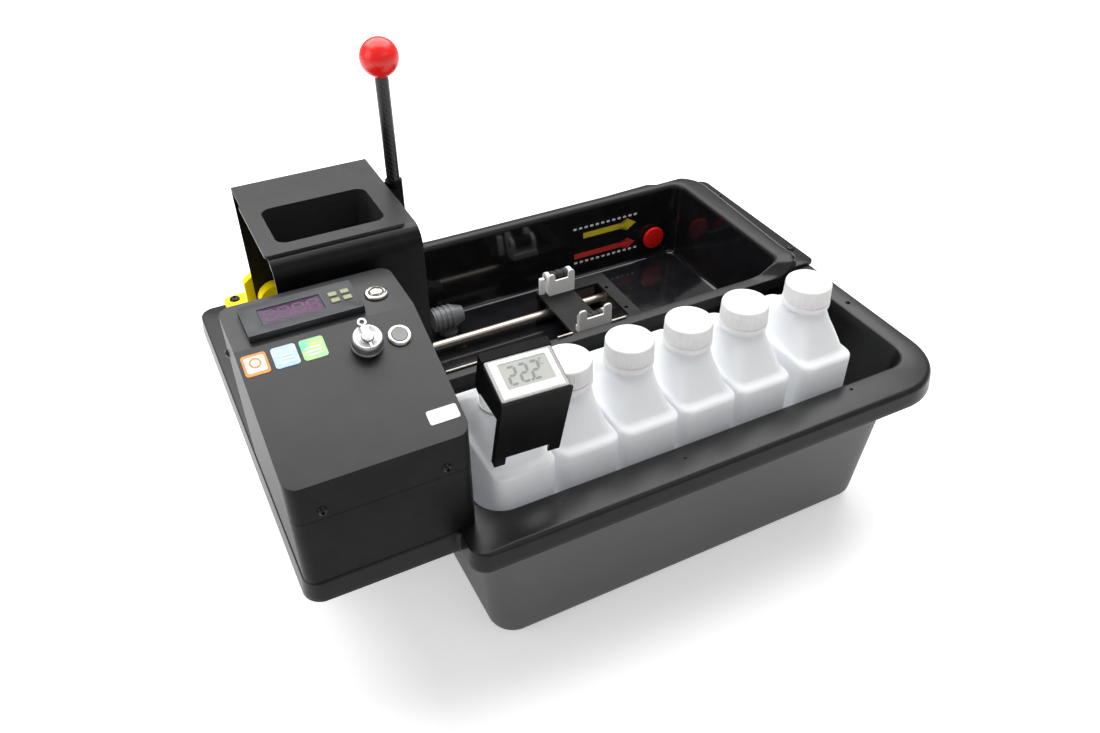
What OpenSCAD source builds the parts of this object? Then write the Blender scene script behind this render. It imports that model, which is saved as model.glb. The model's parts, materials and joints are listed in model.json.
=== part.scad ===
// Semi-automatic film processor: water bath with a bottle trough, a lift for the tank and a control box.
// Millimetres. Before the last shift, x = 0 is the left edge, y = 0 the front edge
// and z = 0 the top of the tub's flange.

/* [Tub] */
// Depth of the lower tub's flange from front to back
tub_d = 366; // [320:1:450]
// Height of the flange above the table
flange_h = 148; // [120:1:200]
// Thickness of the formed sheet
sheet_t = 3; // [2:0.5:5]
// Depth of the turned-down edge
skirt_h = 16; // [8:1:30]
// How far the edge leans outward
skirt_flare = 1.6; // [0:0.1:4]
// Width of the deck that carries the control box
deck_l = 141; // [120:1:170]
// Set-back of the deck from the front edge
deck_back = 27; // [10:1:50]
// Where the front flange begins from the left
rim_x = 104; // [90:1:130]
// Radius of the front right corner of the flange
rim_r = 50; // [20:1:70]
// Left inside edge of the basin
basin_x = 124.5; // [118:0.5:140]
// Distance from the bath's right side to the basin's
basin_gap = 16.5; // [12:0.5:25]
// Front inside edge of the basin
basin_y = 31.3; // [25:0.1:45]
// Inside depth of the basin from front to back
basin_d = 326.7; // [280:0.1:340]
// How much shorter the basin's floor is on the left
draft_left = 8.5; // [2:0.5:14]
// How much shorter the basin's floor is on the right
draft_right = 23; // [5:1:30]
// Diameter of a rubber foot
foot_d = 18; // [12:1:30]
// Height of a rubber foot
foot_h = 4; // [2:0.5:10]

/* [Bath tray] */
// Left inside edge of the bath
bath_x = 136.5; // [132:0.5:150]
// Inside length of the bath
bath_l = 351.5; // [300:0.5:380]
// Front inside edge of the bath
bath_y = 189; // [180:1:200]
// Inside width of the bath
bath_d = 164; // [140:1:180]
// Depth of the bath below the flange
bath_h = 62; // [40:1:90]
// Height of the raised rim above the tub's flange
rim_h = 15; // [8:1:25]
// Width of the raised rim
rim_w = 18; // [10:1:24]
// Inside corner radius of the bath
bath_r = 12; // [10:1:40]
// Width of the ridge between bath and bottles
ridge_w = 14; // [8:1:20]
// Drop of the ridge's front lip
ridge_lip = 11; // [6:1:20]
// Overhang of the tray's side flange past the tub's
tray_over = 3; // [0:0.5:5]
// Width of the tray's side flange beyond the rim
tray_flange = 23; // [15:1:30]
// Diameter of the wall plug
plug_d = 24; // [16:1:32]
// Plug centre from the left
plug_x = 456; // [430:1:470]
// Plug centre below the flange
plug_z = -38; // [-45:1:-25]
// Clearance around the plug's stem
plug_clear = 0.15; // [0.05:0.05:0.4]

/* [Control box] */
// Left side of the control box
box_x = 1; // [0:0.5:4]
// Width of the control box
box_w = 117.5; // [100:0.5:120]
// Front of the control box
box_y = 28; // [27:0.5:34]
// Depth of the control box
box_d = 145; // [120:1:148]
// Height of the box at the front
box_front_h = 83; // [60:1:100]
// Height of the box at the back
box_back_h = 122; // [100:1:130]
// Depth of the level part of the panel at the back
panel_flat = 52; // [45:1:60]
// Height of the seam between base and cover
seam_h = 54; // [40:1:60]
// Wall thickness of the box
box_t = 2.5; // [1.5:0.5:4]
// Corner radius of the box
box_r = 9; // [4:1:15]
// Width of the thermostat's bezel
stat_w = 75; // [60:0.5:85]
// Depth of the thermostat's bezel
stat_d = 34.5; // [28:0.5:40]
// Thickness of the thermostat's bezel
stat_t = 5; // [3:0.5:8]
// Length of the thermostat's body under the panel
stat_body = 60; // [40:1:70]
// Clearance around the thermostat's body
stat_clear = 0.4; // [0.2:0.1:1]
// Side of a coloured label
label_w = 15.5; // [12:0.5:20]

/* [Controls] */
// Outside diameter of a push-button's bezel
button_d = 16; // [14:0.5:22]
// Diameter of a push-button's cap
cap_d = 10.4; // [8:0.1:12]
// Travel of a push-button
button_travel = 1.6; // [1:0.1:3]
// Travel of a thermostat key
key_travel = 0.6; // [0.3:0.1:1]
// Running clearance of caps and keys
cap_clear = 0.1; // [0.05:0.01:0.2]
// Diameter of the speed knob
knob_d = 22; // [16:0.5:30]
// Height of the speed knob
knob_h = 15; // [10:0.5:20]
// Diameter of the speed control's shaft
shaft_d = 6; // [4:0.5:8]
// Clearance between the knob's bore and the shaft
knob_clear = 0.05; // [0.01:0.01:0.1]
// Turn of the knob's pointer at rest
knob_turn = 0; // [-60:1:60]

/* [Lift] */
// Left edge of the lift hood
hood_x = 42.5; // [38:0.5:50]
// Width of the lift hood
hood_w = 106; // [95:0.5:112]
// Front of the lift hood
hood_y = 179; // [177:0.5:186]
// Depth of the lift hood
hood_d = 125; // [110:0.5:135]
// Top of the lift hood above the flange
hood_h = 140; // [120:1:160]
// Thickness of the hood's sheet
hood_t = 2; // [1:0.5:3]
// Bend radius along the hood's front edge
hood_r = 14; // [6:1:20]
// Pivot position from the left
pivot_x = 57.5; // [54:0.5:64]
// Pivot height above the flange
pivot_h = 40; // [30:1:50]
// Diameter of a pivot pin
pivot_d = 8; // [5:0.5:12]
// Running clearance on the pivot pins
pivot_clear = 0.05; // [0.01:0.01:0.1]
// Coupling axis from the front
drive_y = 270; // [255:1:280]
// Height of the coupling axis
drive_h = 30; // [28:1:34]
// Diameter of the tank coupling
coupling_d = 58; // [40:1:64]
// Bore of the tank coupling
coupling_bore = 18; // [16:0.5:20]
// Outside diameter of the coupling's hub
hub_d = 30; // [28:0.5:34]
// Running clearance of the coupling's hub in its bearing
hub_clear = 0.06; // [0.01:0.01:0.1]
// Gear module of the drive
gear_m = 1; // [0.8:0.1:1.5]
// Teeth on the motor's pinion
pinion_n = 16; // [12:1:20]
// Teeth on the coupling's gear
gear_n = 48; // [40:1:56]
// Diameter of the drive motor
motor_d = 37; // [25:0.5:40]
// Length of the drive motor
motor_l = 52; // [40:1:60]
// Diameter of the lever tube
lever_d = 10; // [8:0.5:14]
// Length of the lever tube above its clamp
lever_l = 88; // [60:1:120]
// Diameter of the lever's ball
ball_d = 28; // [20:1:40]
// Length of the funnel's opening
funnel_l = 78; // [60:1:85]
// Width of the funnel's opening
funnel_w = 53; // [40:1:60]
// Bore of the funnel's spout
spout_bore = 10; // [7:0.5:11]

/* [Carriage] */
// Left end of the roller carriage at rest
car_x = 302; // [290:1:330]
// Length of the carriage
car_l = 74; // [60:1:90]
// Distance between the two roller axes
roller_span = 77; // [60:1:90]
// Diameter of a roller
roller_d = 14; // [10:0.5:20]
// Length of a roller
roller_l = 18; // [12:0.5:24]
// Diameter of a roller's pin
roller_pin = 4; // [3:0.5:6]
// Running clearance of a roller on its pin
roller_clear = 0.05; // [0.01:0.01:0.1]
// Height of the carriage plate's top over the bath's floor
car_h = 22; // [18:1:30]

/* [Bottles] */
// Width of a bottle
bottle_w = 48; // [40:0.5:52]
// Depth of a bottle from front to back
bottle_d = 100; // [80:1:115]
// Width of the ledge at the front and back of a bottle's shoulder
ledge_w = 9; // [4:0.5:14]
// Height of a bottle up to its shoulder
bottle_h = 163; // [120:1:170]
// Height of a bottle's sloping shoulder
shoulder_h = 30; // [15:1:40]
// Spacing of the first five bottles
bottle_pitch = 50.5; // [50:0.1:56]
// Extra gap before the last bottle
last_gap = 9.5; // [0:0.5:15]
// Diameter of a bottle's cap
bottle_cap_d = 37; // [30:0.5:40]
// Height of a bottle's cap
bottle_cap_h = 19; // [12:0.5:25]
// Wall thickness of a bottle
bottle_t = 1.6; // [1:0.1:3]
// Clearance between cap and neck
neck_clear = 0.1; // [0.05:0.05:0.3]

/* [Hidden] */
tray_right = bath_x+bath_l+rim_w+tray_flange;
tub_l = tray_right-tray_over;
basin_l = bath_x+bath_l+basin_gap-basin_x;
basin_h = flange_h-foot_h-sheet_t;
ox = (tray_right-skirt_flare)/2;
oy = (bath_y+bath_d+rim_w-skirt_flare)/2;
slope_d = box_d-panel_flat;
slope_a = atan((box_back_h-box_front_h)/slope_d);
crease_y = box_y+slope_d;
basin_l2 = basin_l-draft_left-draft_right;
gear_dist = gear_m*(pinion_n+gear_n)/2;
motor_a = 28;
motor_y = drive_y-gear_dist*cos(motor_a);
motor_z = drive_h+gear_dist*sin(motor_a);
plate_x = hood_x+hood_w-5;
ridge_y = bath_y-ridge_w;
ridge_end = bath_x+bath_l-22;
stat_x = box_x+11.3;
stat_y = crease_y+5;
window_x = stat_x+11;
window_y = stat_y+8.5;
window_w = 41;
window_d = 18.5;
button_x = 100.3;
pump_y = 142.4;
knob_x = 79;
knob_s = 79;
low_x = 101;
low_s = 80;
roller_y = bath_y+bath_d/2;
car_z = -bath_h+car_h;
bottle_y = 37.5;
bottle_x = 136;
neck_y = bottle_y+40;
base_h = 6;
neck_d = bottle_cap_d-6;
shoulder_z = bottle_h+shoulder_h;
lever_y = hood_y+77;
lever_x = plate_x+11.6;
tray_screws = [[tray_right-6.6, bath_y+22], [tray_right-6.6, bath_y+141],
    [bath_x-15.5, bath_y+11], [bath_x-15.5, bath_y+151]];
bracket_screws = [[pivot_x-26.5, hood_y+hood_d+56], [pivot_x-26.5, hood_y+hood_d+14],
    [pivot_x-27.5, hood_y+27]];
heater_y = bath_y+105;
heater_z = -bath_h+8;
nozzle_x = bath_x+74.5;
nozzle_y = bath_y+133;
nozzle_z = -bath_h+16;
lever_z = hood_h-28;
funnel_x = hood_x+10;
funnel_y = hood_y+22;
neck_x = bottle_x+bottle_w/2;
shoulder_top = shoulder_z-basin_h;
holder_x = bottle_x+0.9;
holder_y = bottle_y-14.9;
holder_z = shoulder_top+50;
holder_a = 16.6;
holder_turn = 3;
face_w = 46.4;
face_l = 33.2;
plate_l = 73;

module place() {
    translate([-ox, -oy, flange_h])
        children();
}

module rrect(x, y, l, d, r, fn = 48) {
    translate([x+r, y+r])
        offset(r = r, $fn = fn)
            square([l-2*r, d-2*r]);
}

module slab(x, y, l, d, r, z, h, fn = 48) {
    translate([0, 0, z])
        linear_extrude(h)
            rrect(x, y, l, d, r, fn);
}

// A slab whose foot is shorter by dl, dr, df and db on its four sides
module taper(x, y, l, d, r, z1, z0, dl, dr, df, db, r0, fn = 40) {
    hull() {
        slab(x, y, l, d, r, z1-0.01, 0.01, fn);
        slab(x+dl, y+df, l-dl-dr, d-df-db, r0, z0, 0.01, fn);
    }
}

// The point s mm up the sloping panel from its front edge, with z as the panel's normal
module on_slope(x, s) {
    translate([x, box_y, box_front_h])
        rotate([slope_a, 0, 0])
            translate([0, s, 0])
                children();
}

module along_x(x, y, z) {
    translate([x, y, z])
        rotate([0, 90, 0])
            children();
}

module along_y(x, y, z) {
    translate([x, y, z])
        rotate([-90, 0, 0])
            children();
}

// The lower tub: the deck and the rim outlines share one sheet
module rim2d(grow) {
    offset(delta = grow)
        hull() {
            translate([rim_x+12, 12])
                circle(12, $fn = 40);
            translate([tub_l-rim_r, rim_r])
                circle(rim_r, $fn = 80);
            translate([tub_l-14, tub_d-14])
                circle(14, $fn = 40);
            translate([rim_x+4, tub_d-4])
                circle(4, $fn = 24);
        }
}

module deck2d(grow) {
    offset(delta = grow)
        rrect(0, deck_back, deck_l, tub_d+3-deck_back, 12, 40);
}

module skirt_form(grow, top) {
    hull() {
        translate([0, 0, top-0.01])
            linear_extrude(0.01)
                rim2d(grow-2.2);
        translate([0, 0, top-2.5])
            linear_extrude(0.01)
                rim2d(grow);
        translate([0, 0, -skirt_h])
            linear_extrude(0.01)
                rim2d(grow+skirt_flare);
    }
    hull() {
        translate([0, 0, top-0.01])
            linear_extrude(0.01)
                deck2d(grow-0.8);
        translate([0, 0, top-2.5])
            linear_extrude(0.01)
                deck2d(grow);
        translate([0, 0, -skirt_h])
            linear_extrude(0.01)
                deck2d(grow+skirt_flare);
    }
}

module basin_form(g, r, zf, top) {
    hull() {
        slab(basin_x-g, basin_y-g, basin_l+2*g, basin_d+2*g, 22+g, top-0.01, 0.01);
        slab(basin_x+draft_left-g, basin_y+3-g, basin_l2+2*g, basin_d-9+2*g, r+g, zf+7, 0.01);
        slab(basin_x+draft_left+5-g, basin_y+8-g, basin_l2-10+2*g, basin_d-19+2*g, r-5+g, zf, 0.01);
    }
}

module outer_tub() {
    color([0.16, 0.16, 0.17])
        place()
            difference() {
                union() {
                    difference() {
                        skirt_form(0, 0);
                        translate([0, 0, -0.5])
                            skirt_form(-sheet_t, -sheet_t+0.5);
                    }
                    basin_form(sheet_t, 20, -basin_h-sheet_t, -1);
                }
                basin_form(0, 17, -basin_h, 0.1);
                for (p = [[176.6, 21.4], [275.8, 17.9], [tub_l-91, 23.4], [tub_l-13, 117.7]])
                    translate([p[0], p[1], -4])
                        cylinder(h = 6, d = 3, $fn = 24);
                for (p = concat(tray_screws, bracket_screws))
                    translate([p[0], p[1], -4])
                        cylinder(h = 6, d = 4.3, $fn = 24);
            }
}

module bath_form(g, zf) {
    hull() {
        slab(bath_x-g, bath_y-g, bath_l+2*g, bath_d+2*g, bath_r+g, rim_h-0.01, 0.02);
        slab(bath_x+5-g, bath_y+2-g, bath_l-10+2*g, bath_d-7+2*g, bath_r-2+g, zf+6, 0.01);
        slab(bath_x+9-g, bath_y+6-g, bath_l-18+2*g, bath_d-15+2*g, bath_r-6+g, zf, 0.01);
    }
}

module bead2d(a, b) {
    difference() {
        rrect(bath_x-b, bath_y-b, bath_l+2*b, bath_d+2*b, bath_r+b);
        rrect(bath_x-a, bath_y-a, bath_l+2*a, bath_d+2*a, bath_r+a);
    }
}

module bath_tray() {
    color([0.13, 0.13, 0.14])
        place()
            difference() {
                union() {
                    linear_extrude(sheet_t)
                        union() {
                            rrect(bath_x-22, ridge_y, ridge_end-bath_x+22, tub_d-ridge_y-1, 4);
                            rrect(bath_x+bath_l+12, bath_y-6.4, rim_w+tray_flange-12, tub_d-bath_y+5.4, 6);
                            translate([bath_x+bath_l-40, bath_y-3])
                                square([58, tub_d-bath_y+2]);
                        }
                    translate([bath_x-10, ridge_y, sheet_t-ridge_lip])
                        cube([ridge_end-bath_x+10, sheet_t, ridge_lip]);
                    translate([0, bath_y+bath_r+3, 0])
                        rotate([90, 0, 0])
                            linear_extrude(bath_r+6)
                                polygon([[ridge_end-4, -8], [bath_x+bath_l+12, -8],
                                    [bath_x+bath_l+12, 0.2],
                                    [bath_x+bath_l+rim_w, 0.2], [bath_x+bath_l+rim_w, rim_h],
                                    [ridge_end+21, rim_h], [ridge_end+14, rim_h-1.4],
                                    [ridge_end+7, rim_h-4.8], [ridge_end+1, rim_h-9.6],
                                    [ridge_end-1.5, sheet_t], [ridge_end-4, sheet_t]]);
                    intersection() {
                        bath_form(sheet_t, -bath_h-sheet_t);
                        translate([bath_x-sheet_t-1, bath_y-sheet_t-1, -bath_h-sheet_t-1])
                            cube([bath_l+20, bath_d+20, bath_h+2*sheet_t+1]);
                    }
                    intersection() {
                        linear_extrude(rim_h)
                            bead2d(-0.5, rim_w);
                        union() {
                            translate([bath_x+6, bath_y+bath_d-bath_r, 0])
                                cube([bath_l+40, bath_r+40, rim_h]);
                            translate([bath_x+bath_l-0.6, bath_y-3, 0])
                                cube([40, bath_d, rim_h]);
                        }
                    }
                    intersection() {
                        translate([0, 0, sheet_t-16])
                            linear_extrude(16)
                                bead2d(rim_w-sheet_t, rim_w);
                        translate([bath_x+14, bath_y+bath_d+5, -20])
                            cube([bath_l-36, 40, 40]);
                    }
                    along_y(plug_x, bath_y+bath_d-6, plug_z)
                        cylinder(h = 8, d = 32, $fn = 64);
                }
                bath_form(0, -bath_h);
                intersection() {
                    translate([0, 0, -1])
                        linear_extrude(rim_h-sheet_t+1)
                            bead2d(sheet_t, rim_w-sheet_t);
                    translate([bath_x+9, bath_y, -2])
                        cube([bath_l+40, bath_d+40, rim_h]);
                }
                along_y(plug_x, bath_y+bath_d-20, plug_z)
                    cylinder(h = 40, d = 16+2*plug_clear, $fn = 64);
                along_x(bath_x-10, heater_y, heater_z)
                    cylinder(h = 30, d = 11, $fn = 48);
                translate([nozzle_x, nozzle_y, -bath_h-10])
                    cylinder(h = 20, d = 12.4, $fn = 48);
                for (p = tray_screws)
                    translate([p[0], p[1], -1])
                        cylinder(h = 6, d = 4.3, $fn = 24);
            }
    color([0.13, 0.13, 0.14])
        place()
            difference() {
                along_y(plug_x, bath_y+bath_d-6, plug_z)
                    cylinder(h = 5, d = 30, $fn = 64);
                along_y(plug_x, bath_y+bath_d-20, plug_z)
                    cylinder(h = 40, d = 16+2*plug_clear, $fn = 64);
            }
}

module ridge_strip() {
    color([0.75, 0.75, 0.76])
        place()
            translate([158, bath_y-4.5, sheet_t])
                cube([175, 2.5, 2]);
}

module button_head(d = 8.5, l = 7) {
    difference() {
        union() {
            cylinder(h = 1.3, d1 = d, d2 = d-1.2, $fn = 32);
            translate([0, 0, 1.3])
                cylinder(h = 0.9, d1 = d-1.2, d2 = d-4.2, $fn = 32);
            translate([0, 0, -l])
                cylinder(h = l, d = 4, $fn = 24);
        }
        translate([0, 0, 0.9])
            cylinder(h = 5, d = 2.6, $fn = 6);
    }
}

module button_screws() {
    color([0.08, 0.08, 0.08])
        place() {
            for (p = tray_screws)
                translate([p[0], p[1], sheet_t])
                    button_head();
            for (x = [20, 99.7])
                translate([x, box_y, 60.5])
                    rotate([90, 0, 0])
                        button_head(6.5, 5);
            translate([box_x, 165, 92])
                rotate([0, -90, 0])
                    button_head(6.5, 5);
            translate([box_x+box_w, 165, 92])
                rotate([0, 90, 0])
                    button_head(6.5, 5);
            for (p = bracket_screws)
                translate([p[0], p[1], 8])
                    button_head(9, 10);
        }
}

module rubber_feet() {
    color([0.05, 0.05, 0.05])
        place() {
            for (x = [basin_x+40.5, basin_x+basin_l-64.5, 32, 94])
                for (y = x < basin_x ? [180, 330] : [basin_y+30.7, basin_y+basin_d-38])
                    translate([x, y, -flange_h])
                        cylinder(h = foot_h, d1 = foot_d-3, d2 = foot_d, $fn = 40);
        }
}

module power_housing() {
    color([0.12, 0.12, 0.13])
        place()
            difference() {
                slab(14, 160, 98, 190, 8, -flange_h+foot_h, flange_h-foot_h-sheet_t);
                slab(17, 163, 92, 184, 5, -flange_h+foot_h+sheet_t, flange_h);
                translate([34, 340, -92])
                    cube([58, 20, 48]);
                for (i = [0:5])
                    translate([10, 190+i*14, -100])
                        cube([10, 5, 40]);
            }
}

module power_inlet() {
    color([0.07, 0.07, 0.07])
        place()
            difference() {
                union() {
                    translate([28, 350, -98])
                        cube([70, 3, 60]);
                    translate([34.3, 322, -91.7])
                        cube([57.4, 28, 47.4]);
                }
                translate([39, 329, -84])
                    cube([24, 30, 17]);
                translate([69, 326, -86.8])
                    cube([15, 40, 23.6]);
                for (p = [[31.5, -41.5], [94.5, -41.5], [31.5, -94.5], [94.5, -94.5]])
                    along_y(p[0], 340, p[1])
                        cylinder(h = 20, d = 3.2, $fn = 24);
            }
    color([0.75, 0.7, 0.5])
        place()
            for (p = [[45, -72], [57, -72], [51, -78]])
                translate([p[0]-1, 328, p[1]-2])
                    cube([2, 16, 4]);
    color([0.6, 0.6, 0.62])
        place()
            along_x(68, 348, -75)
                cylinder(h = 17, d = 2, $fn = 32);
}

module power_rocker() {
    color([0.05, 0.05, 0.05])
        place()
            translate([76.5, 350, -75])
                difference() {
                    hull() {
                        translate([-7.2, -4, -10.2])
                            cube([14.4, 4, 0.4]);
                        translate([-7.2, -4, 9.8])
                            cube([14.4, 8, 0.4]);
                        translate([-7.2, -4, -0.5])
                            cube([14.4, 6.2, 1]);
                    }
                    along_x(-10, -2, 0)
                        cylinder(h = 20, d = 2.1, $fn = 32);
                }
}

module level_label() {
    color([0.2, 0.2, 0.22])
        place()
            translate([plug_x-94, bath_y+bath_d-1.5, -4])
                rotate([-4.02, 0, 0])
                    translate([0, -0.5, -44])
                        cube([76, 0.5, 44]);
}

module wall_plug() {
    color([0.85, 0.12, 0.12])
        place()
            along_y(plug_x, bath_y+bath_d-9, plug_z) {
                cylinder(h = 3, d = plug_d, $fn = 64);
                translate([0, 0, 3])
                    cylinder(h = 8.6, d = 16, $fn = 64);
            }
}

module heater_rod() {
    color([0.85, 0.82, 0.76])
        place()
            along_x(0, heater_y, heater_z) {
                translate([0, 0, bath_x-4])
                    cylinder(h = 13.6, d = 10.6, $fn = 48);
                translate([0, 0, bath_x+9.6])
                    cylinder(h = 4, d = 15.4, $fn = 6);
                translate([0, 0, bath_x+13.6])
                    cylinder(h = 6, d = 12, $fn = 48);
                translate([0, 0, bath_x+19.6])
                    cylinder(h = 211, d = 8, $fn = 40);
                translate([0, 0, bath_x+230.6])
                    sphere(d = 8, $fn = 32);
                translate([0, 0, bath_x-8])
                    cylinder(h = 5, d = 15.4, $fn = 6);
            }
}

module pump_body() {
    color([0.1, 0.1, 0.11])
        place()
            difference() {
                union() {
                    slab(nozzle_x-27, nozzle_y-24, 60, 44, 6, -basin_h, 34);
                    translate([nozzle_x, nozzle_y, -basin_h+33])
                        cylinder(h = 14, d = 17, $fn = 48);
                }
                translate([nozzle_x, nozzle_y, -basin_h+12])
                    cylinder(h = 60, d = 11.2, $fn = 48);
                for (i = [0:4])
                    translate([nozzle_x-21+i*10, nozzle_y-30, -basin_h+6])
                        cube([4, 12, 20]);
            }
}

module pump_nozzle() {
    color([0.62, 0.63, 0.65])
        place()
            difference() {
                union() {
                    translate([nozzle_x, nozzle_y, -basin_h+20])
                        cylinder(h = basin_h-20+nozzle_z, d = 11, $fn = 48);
                    translate([nozzle_x, nozzle_y, -bath_h])
                        cylinder(h = 4, d = 20, $fn = 48);
                    along_x(nozzle_x-14, nozzle_y, nozzle_z)
                        cylinder(h = 20, d = 22, $fn = 48);
                    along_x(nozzle_x+6, nozzle_y, nozzle_z)
                        cylinder(h = 10, d1 = 22, d2 = 15, $fn = 48);
                    for (i = [0:3])
                        along_x(nozzle_x-12+i*5, nozzle_y, nozzle_z)
                            cylinder(h = 2, d = 24, $fn = 48);
                }
                translate([nozzle_x, nozzle_y, -basin_h+19])
                    cylinder(h = basin_h-18+nozzle_z, d = 7, $fn = 40);
                along_x(nozzle_x-8, nozzle_y, nozzle_z)
                    cylinder(h = 30, d = 9, $fn = 40);
            }
}

// Plan of the control box, drawn in by g
module box_column(g, z, h) {
    slab(box_x+g, box_y+g, box_w-2*g, box_d-2*g, box_r-g, z, h, 48);
}

module box_side(g, low) {
    translate([box_x-1, 0, 0])
        rotate([90, 0, 90])
            linear_extrude(box_w+2)
                polygon([[box_y-1, low], [box_y+box_d+1, low], [box_y+box_d+1, box_back_h-g],
                    [crease_y+g*tan(slope_a/2), box_back_h-g],
                    [box_y-1, box_front_h-g/cos(slope_a)-tan(slope_a)]]);
}

module box_base() {
    color([0.17, 0.17, 0.18])
        place() {
            difference() {
                box_column(0, 0, seam_h);
                box_column(box_t, box_t, seam_h);
                translate([60, 100, -1])
                    cylinder(h = 10, d = 20, $fn = 48);
            }
            difference() {
                box_column(box_t, seam_h-6, 9);
                box_column(box_t+1.4, seam_h-7, 11);
            }
        }
}

module box_cover() {
    color([0.19, 0.19, 0.2])
        place()
            difference() {
                intersection() {
                    box_column(0, seam_h, 90);
                    box_side(0, seam_h);
                }
                intersection() {
                    box_column(box_t-0.15, seam_h-1, 90);
                    box_side(box_t, seam_h-1);
                }
                translate([stat_x+2.2-stat_clear, stat_y+2.9-stat_clear, 100])
                    cube([stat_w-4.4+2*stat_clear, stat_d-5.8+2*stat_clear, 40]);
                translate([button_x, pump_y, 100])
                    cylinder(h = 40, d = 12.4, $fn = 48);
                on_slope(low_x, low_s)
                    translate([0, 0, -10])
                        cylinder(h = 20, d = 12.4, $fn = 48);
                on_slope(knob_x, knob_s)
                    translate([0, 0, -10])
                        cylinder(h = 20, d = 7.4, $fn = 48);
                for (x = [20, 99.7])
                    along_y(x, box_y-1, 60.5)
                        cylinder(h = 8, d = 4.4, $fn = 24);
                along_x(box_x-1, 165, 92)
                    cylinder(h = box_w+2, d = 4.4, $fn = 24);
            }
}

module thermostat_case() {
    color([0.42, 0.43, 0.45])
        place()
            difference() {
                union() {
                    translate([stat_x, stat_y, box_back_h])
                        cube([stat_w, stat_d, stat_t-1]);
                    taper(stat_x, stat_y, stat_w, stat_d, 1.5, box_back_h+stat_t, box_back_h+stat_t-1.01,
                        0, 0, 0, 0, 0.6, 24);
                    translate([stat_x+2.2, stat_y+2.9, box_back_h-stat_body])
                        cube([stat_w-4.4, stat_d-5.8, stat_body+1]);
                }
                translate([window_x, window_y, box_back_h+stat_t-1])
                    cube([window_w, window_d, 3]);
                for (i = [0:3])
                    translate([key_px(i), key_py(i), box_back_h-1])
                        cube([5+2*cap_clear, 3.8+2*cap_clear, 12]);
            }
}

function key_px(i) = stat_x+57.5+floor(i/2)*8.2;
function key_py(i) = stat_y+12.4+(i%2)*7.6;

module display_window() {
    color([0.22, 0.16, 0.25])
        place()
            translate([window_x+0.1, window_y+0.1, box_back_h+stat_t-1])
                cube([window_w-0.2, window_d-0.2, 0.7]);
}

module key_at(i) {
    color([0.62, 0.65, 0.48])
        place()
            translate([key_px(i)+cap_clear, key_py(i)+cap_clear, box_back_h-1+key_travel+0.1])
                cube([5, 3.8, stat_t+1.1]);
}

module key_1() {
    key_at(0);
}

module key_2() {
    key_at(1);
}

module key_3() {
    key_at(2);
}

module key_4() {
    key_at(3);
}

module bezel() {
    difference() {
        union() {
            cylinder(h = 1.2, d = button_d, $fn = 64);
            translate([0, 0, 1.2])
                cylinder(h = 0.9, d1 = button_d, d2 = button_d-1.8, $fn = 64);
            translate([0, 0, -18])
                cylinder(h = 18, d = 12, $fn = 64);
        }
        translate([0, 0, -7])
            cylinder(h = 12, d = cap_d+2*cap_clear, $fn = 64);
    }
}

module pump_bezel() {
    color([0.8, 0.79, 0.76])
        place()
            translate([button_x, pump_y, box_back_h])
                bezel();
}

module low_speed_bezel() {
    color([0.8, 0.79, 0.76])
        place()
            on_slope(low_x, low_s)
                bezel();
}

module pump_cap() {
    color([0.82, 0.81, 0.78])
        place()
            translate([button_x, pump_y, box_back_h-7+button_travel+0.3]) {
                cylinder(h = 8.4-button_travel, d = cap_d, $fn = 64);
                translate([0, 0, 8.4-button_travel])
                    scale([1, 1, 0.5])
                        intersection() {
                            sphere(d = cap_d, $fn = 48);
                            cylinder(h = 10, d = 20, $fn = 48);
                        }
            }
}

module low_speed_cap() {
    color([0.7, 0.7, 0.7])
        place()
            on_slope(low_x, low_s)
                translate([0, 0, -7+button_travel+0.3])
                    cylinder(h = 7.4, d = cap_d, $fn = 64);
}

module speed_control() {
    color([0.5, 0.5, 0.48])
        place()
            on_slope(knob_x, knob_s) {
                translate([0, 0, -box_t-9])
                    cylinder(h = 9, d = 16, $fn = 48);
                translate([0, 0, -box_t-1])
                    cylinder(h = box_t+3, d = 7, $fn = 48);
                translate([0, 0, 0])
                    cylinder(h = 12, d = shaft_d, $fn = 48);
            }
}

module speed_knob() {
    color([0.85, 0.85, 0.86])
        place()
            on_slope(knob_x, knob_s)
                rotate([0, 0, knob_turn])
                    difference() {
                        union() {
                            translate([0, 0, 2.4])
                                cylinder(h = knob_h-0.8, d1 = knob_d, d2 = knob_d-1, $fn = 72);
                            translate([0, 0, knob_h+1.6])
                                cylinder(h = 0.8, d1 = knob_d-1, d2 = knob_d-2.4, $fn = 72);
                            translate([0, 0, knob_h+2])
                                cylinder(h = 2, d = 8, $fn = 40);
                            translate([-2.6, 0, knob_h+2])
                                cube([5.2, 10.5, 2]);
                            translate([0, 10.5, knob_h+2])
                                cylinder(h = 2, d = 6.4, $fn = 40);
                            translate([-1, -9.5, knob_h+2.2])
                                cube([2, 10, 1]);
                        }
                        translate([0, 0, 2])
                            cylinder(h = 10.4, d = shaft_d+2*knob_clear, $fn = 48);
                        translate([0, 0, 2])
                            cylinder(h = 2, d = 8.4, $fn = 48);
                        translate([0, 10.5, knob_h+1.9])
                            cylinder(h = 3, d = 2.6, $fn = 32);
                    }
}

module panel_labels() {
    color([0.9, 0.88, 0.8])
        place() {
            for (x = [11, 29.5, 47.3])
                on_slope(x, 88.6)
                    slab(-label_w/2, -label_w/2, label_w, label_w, 2, 0, 0.3, 24);
            on_slope(106, 17.5)
                slab(-10, -5, 20, 10, 1.5, 0, 0.3, 24);
        }
}

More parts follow.
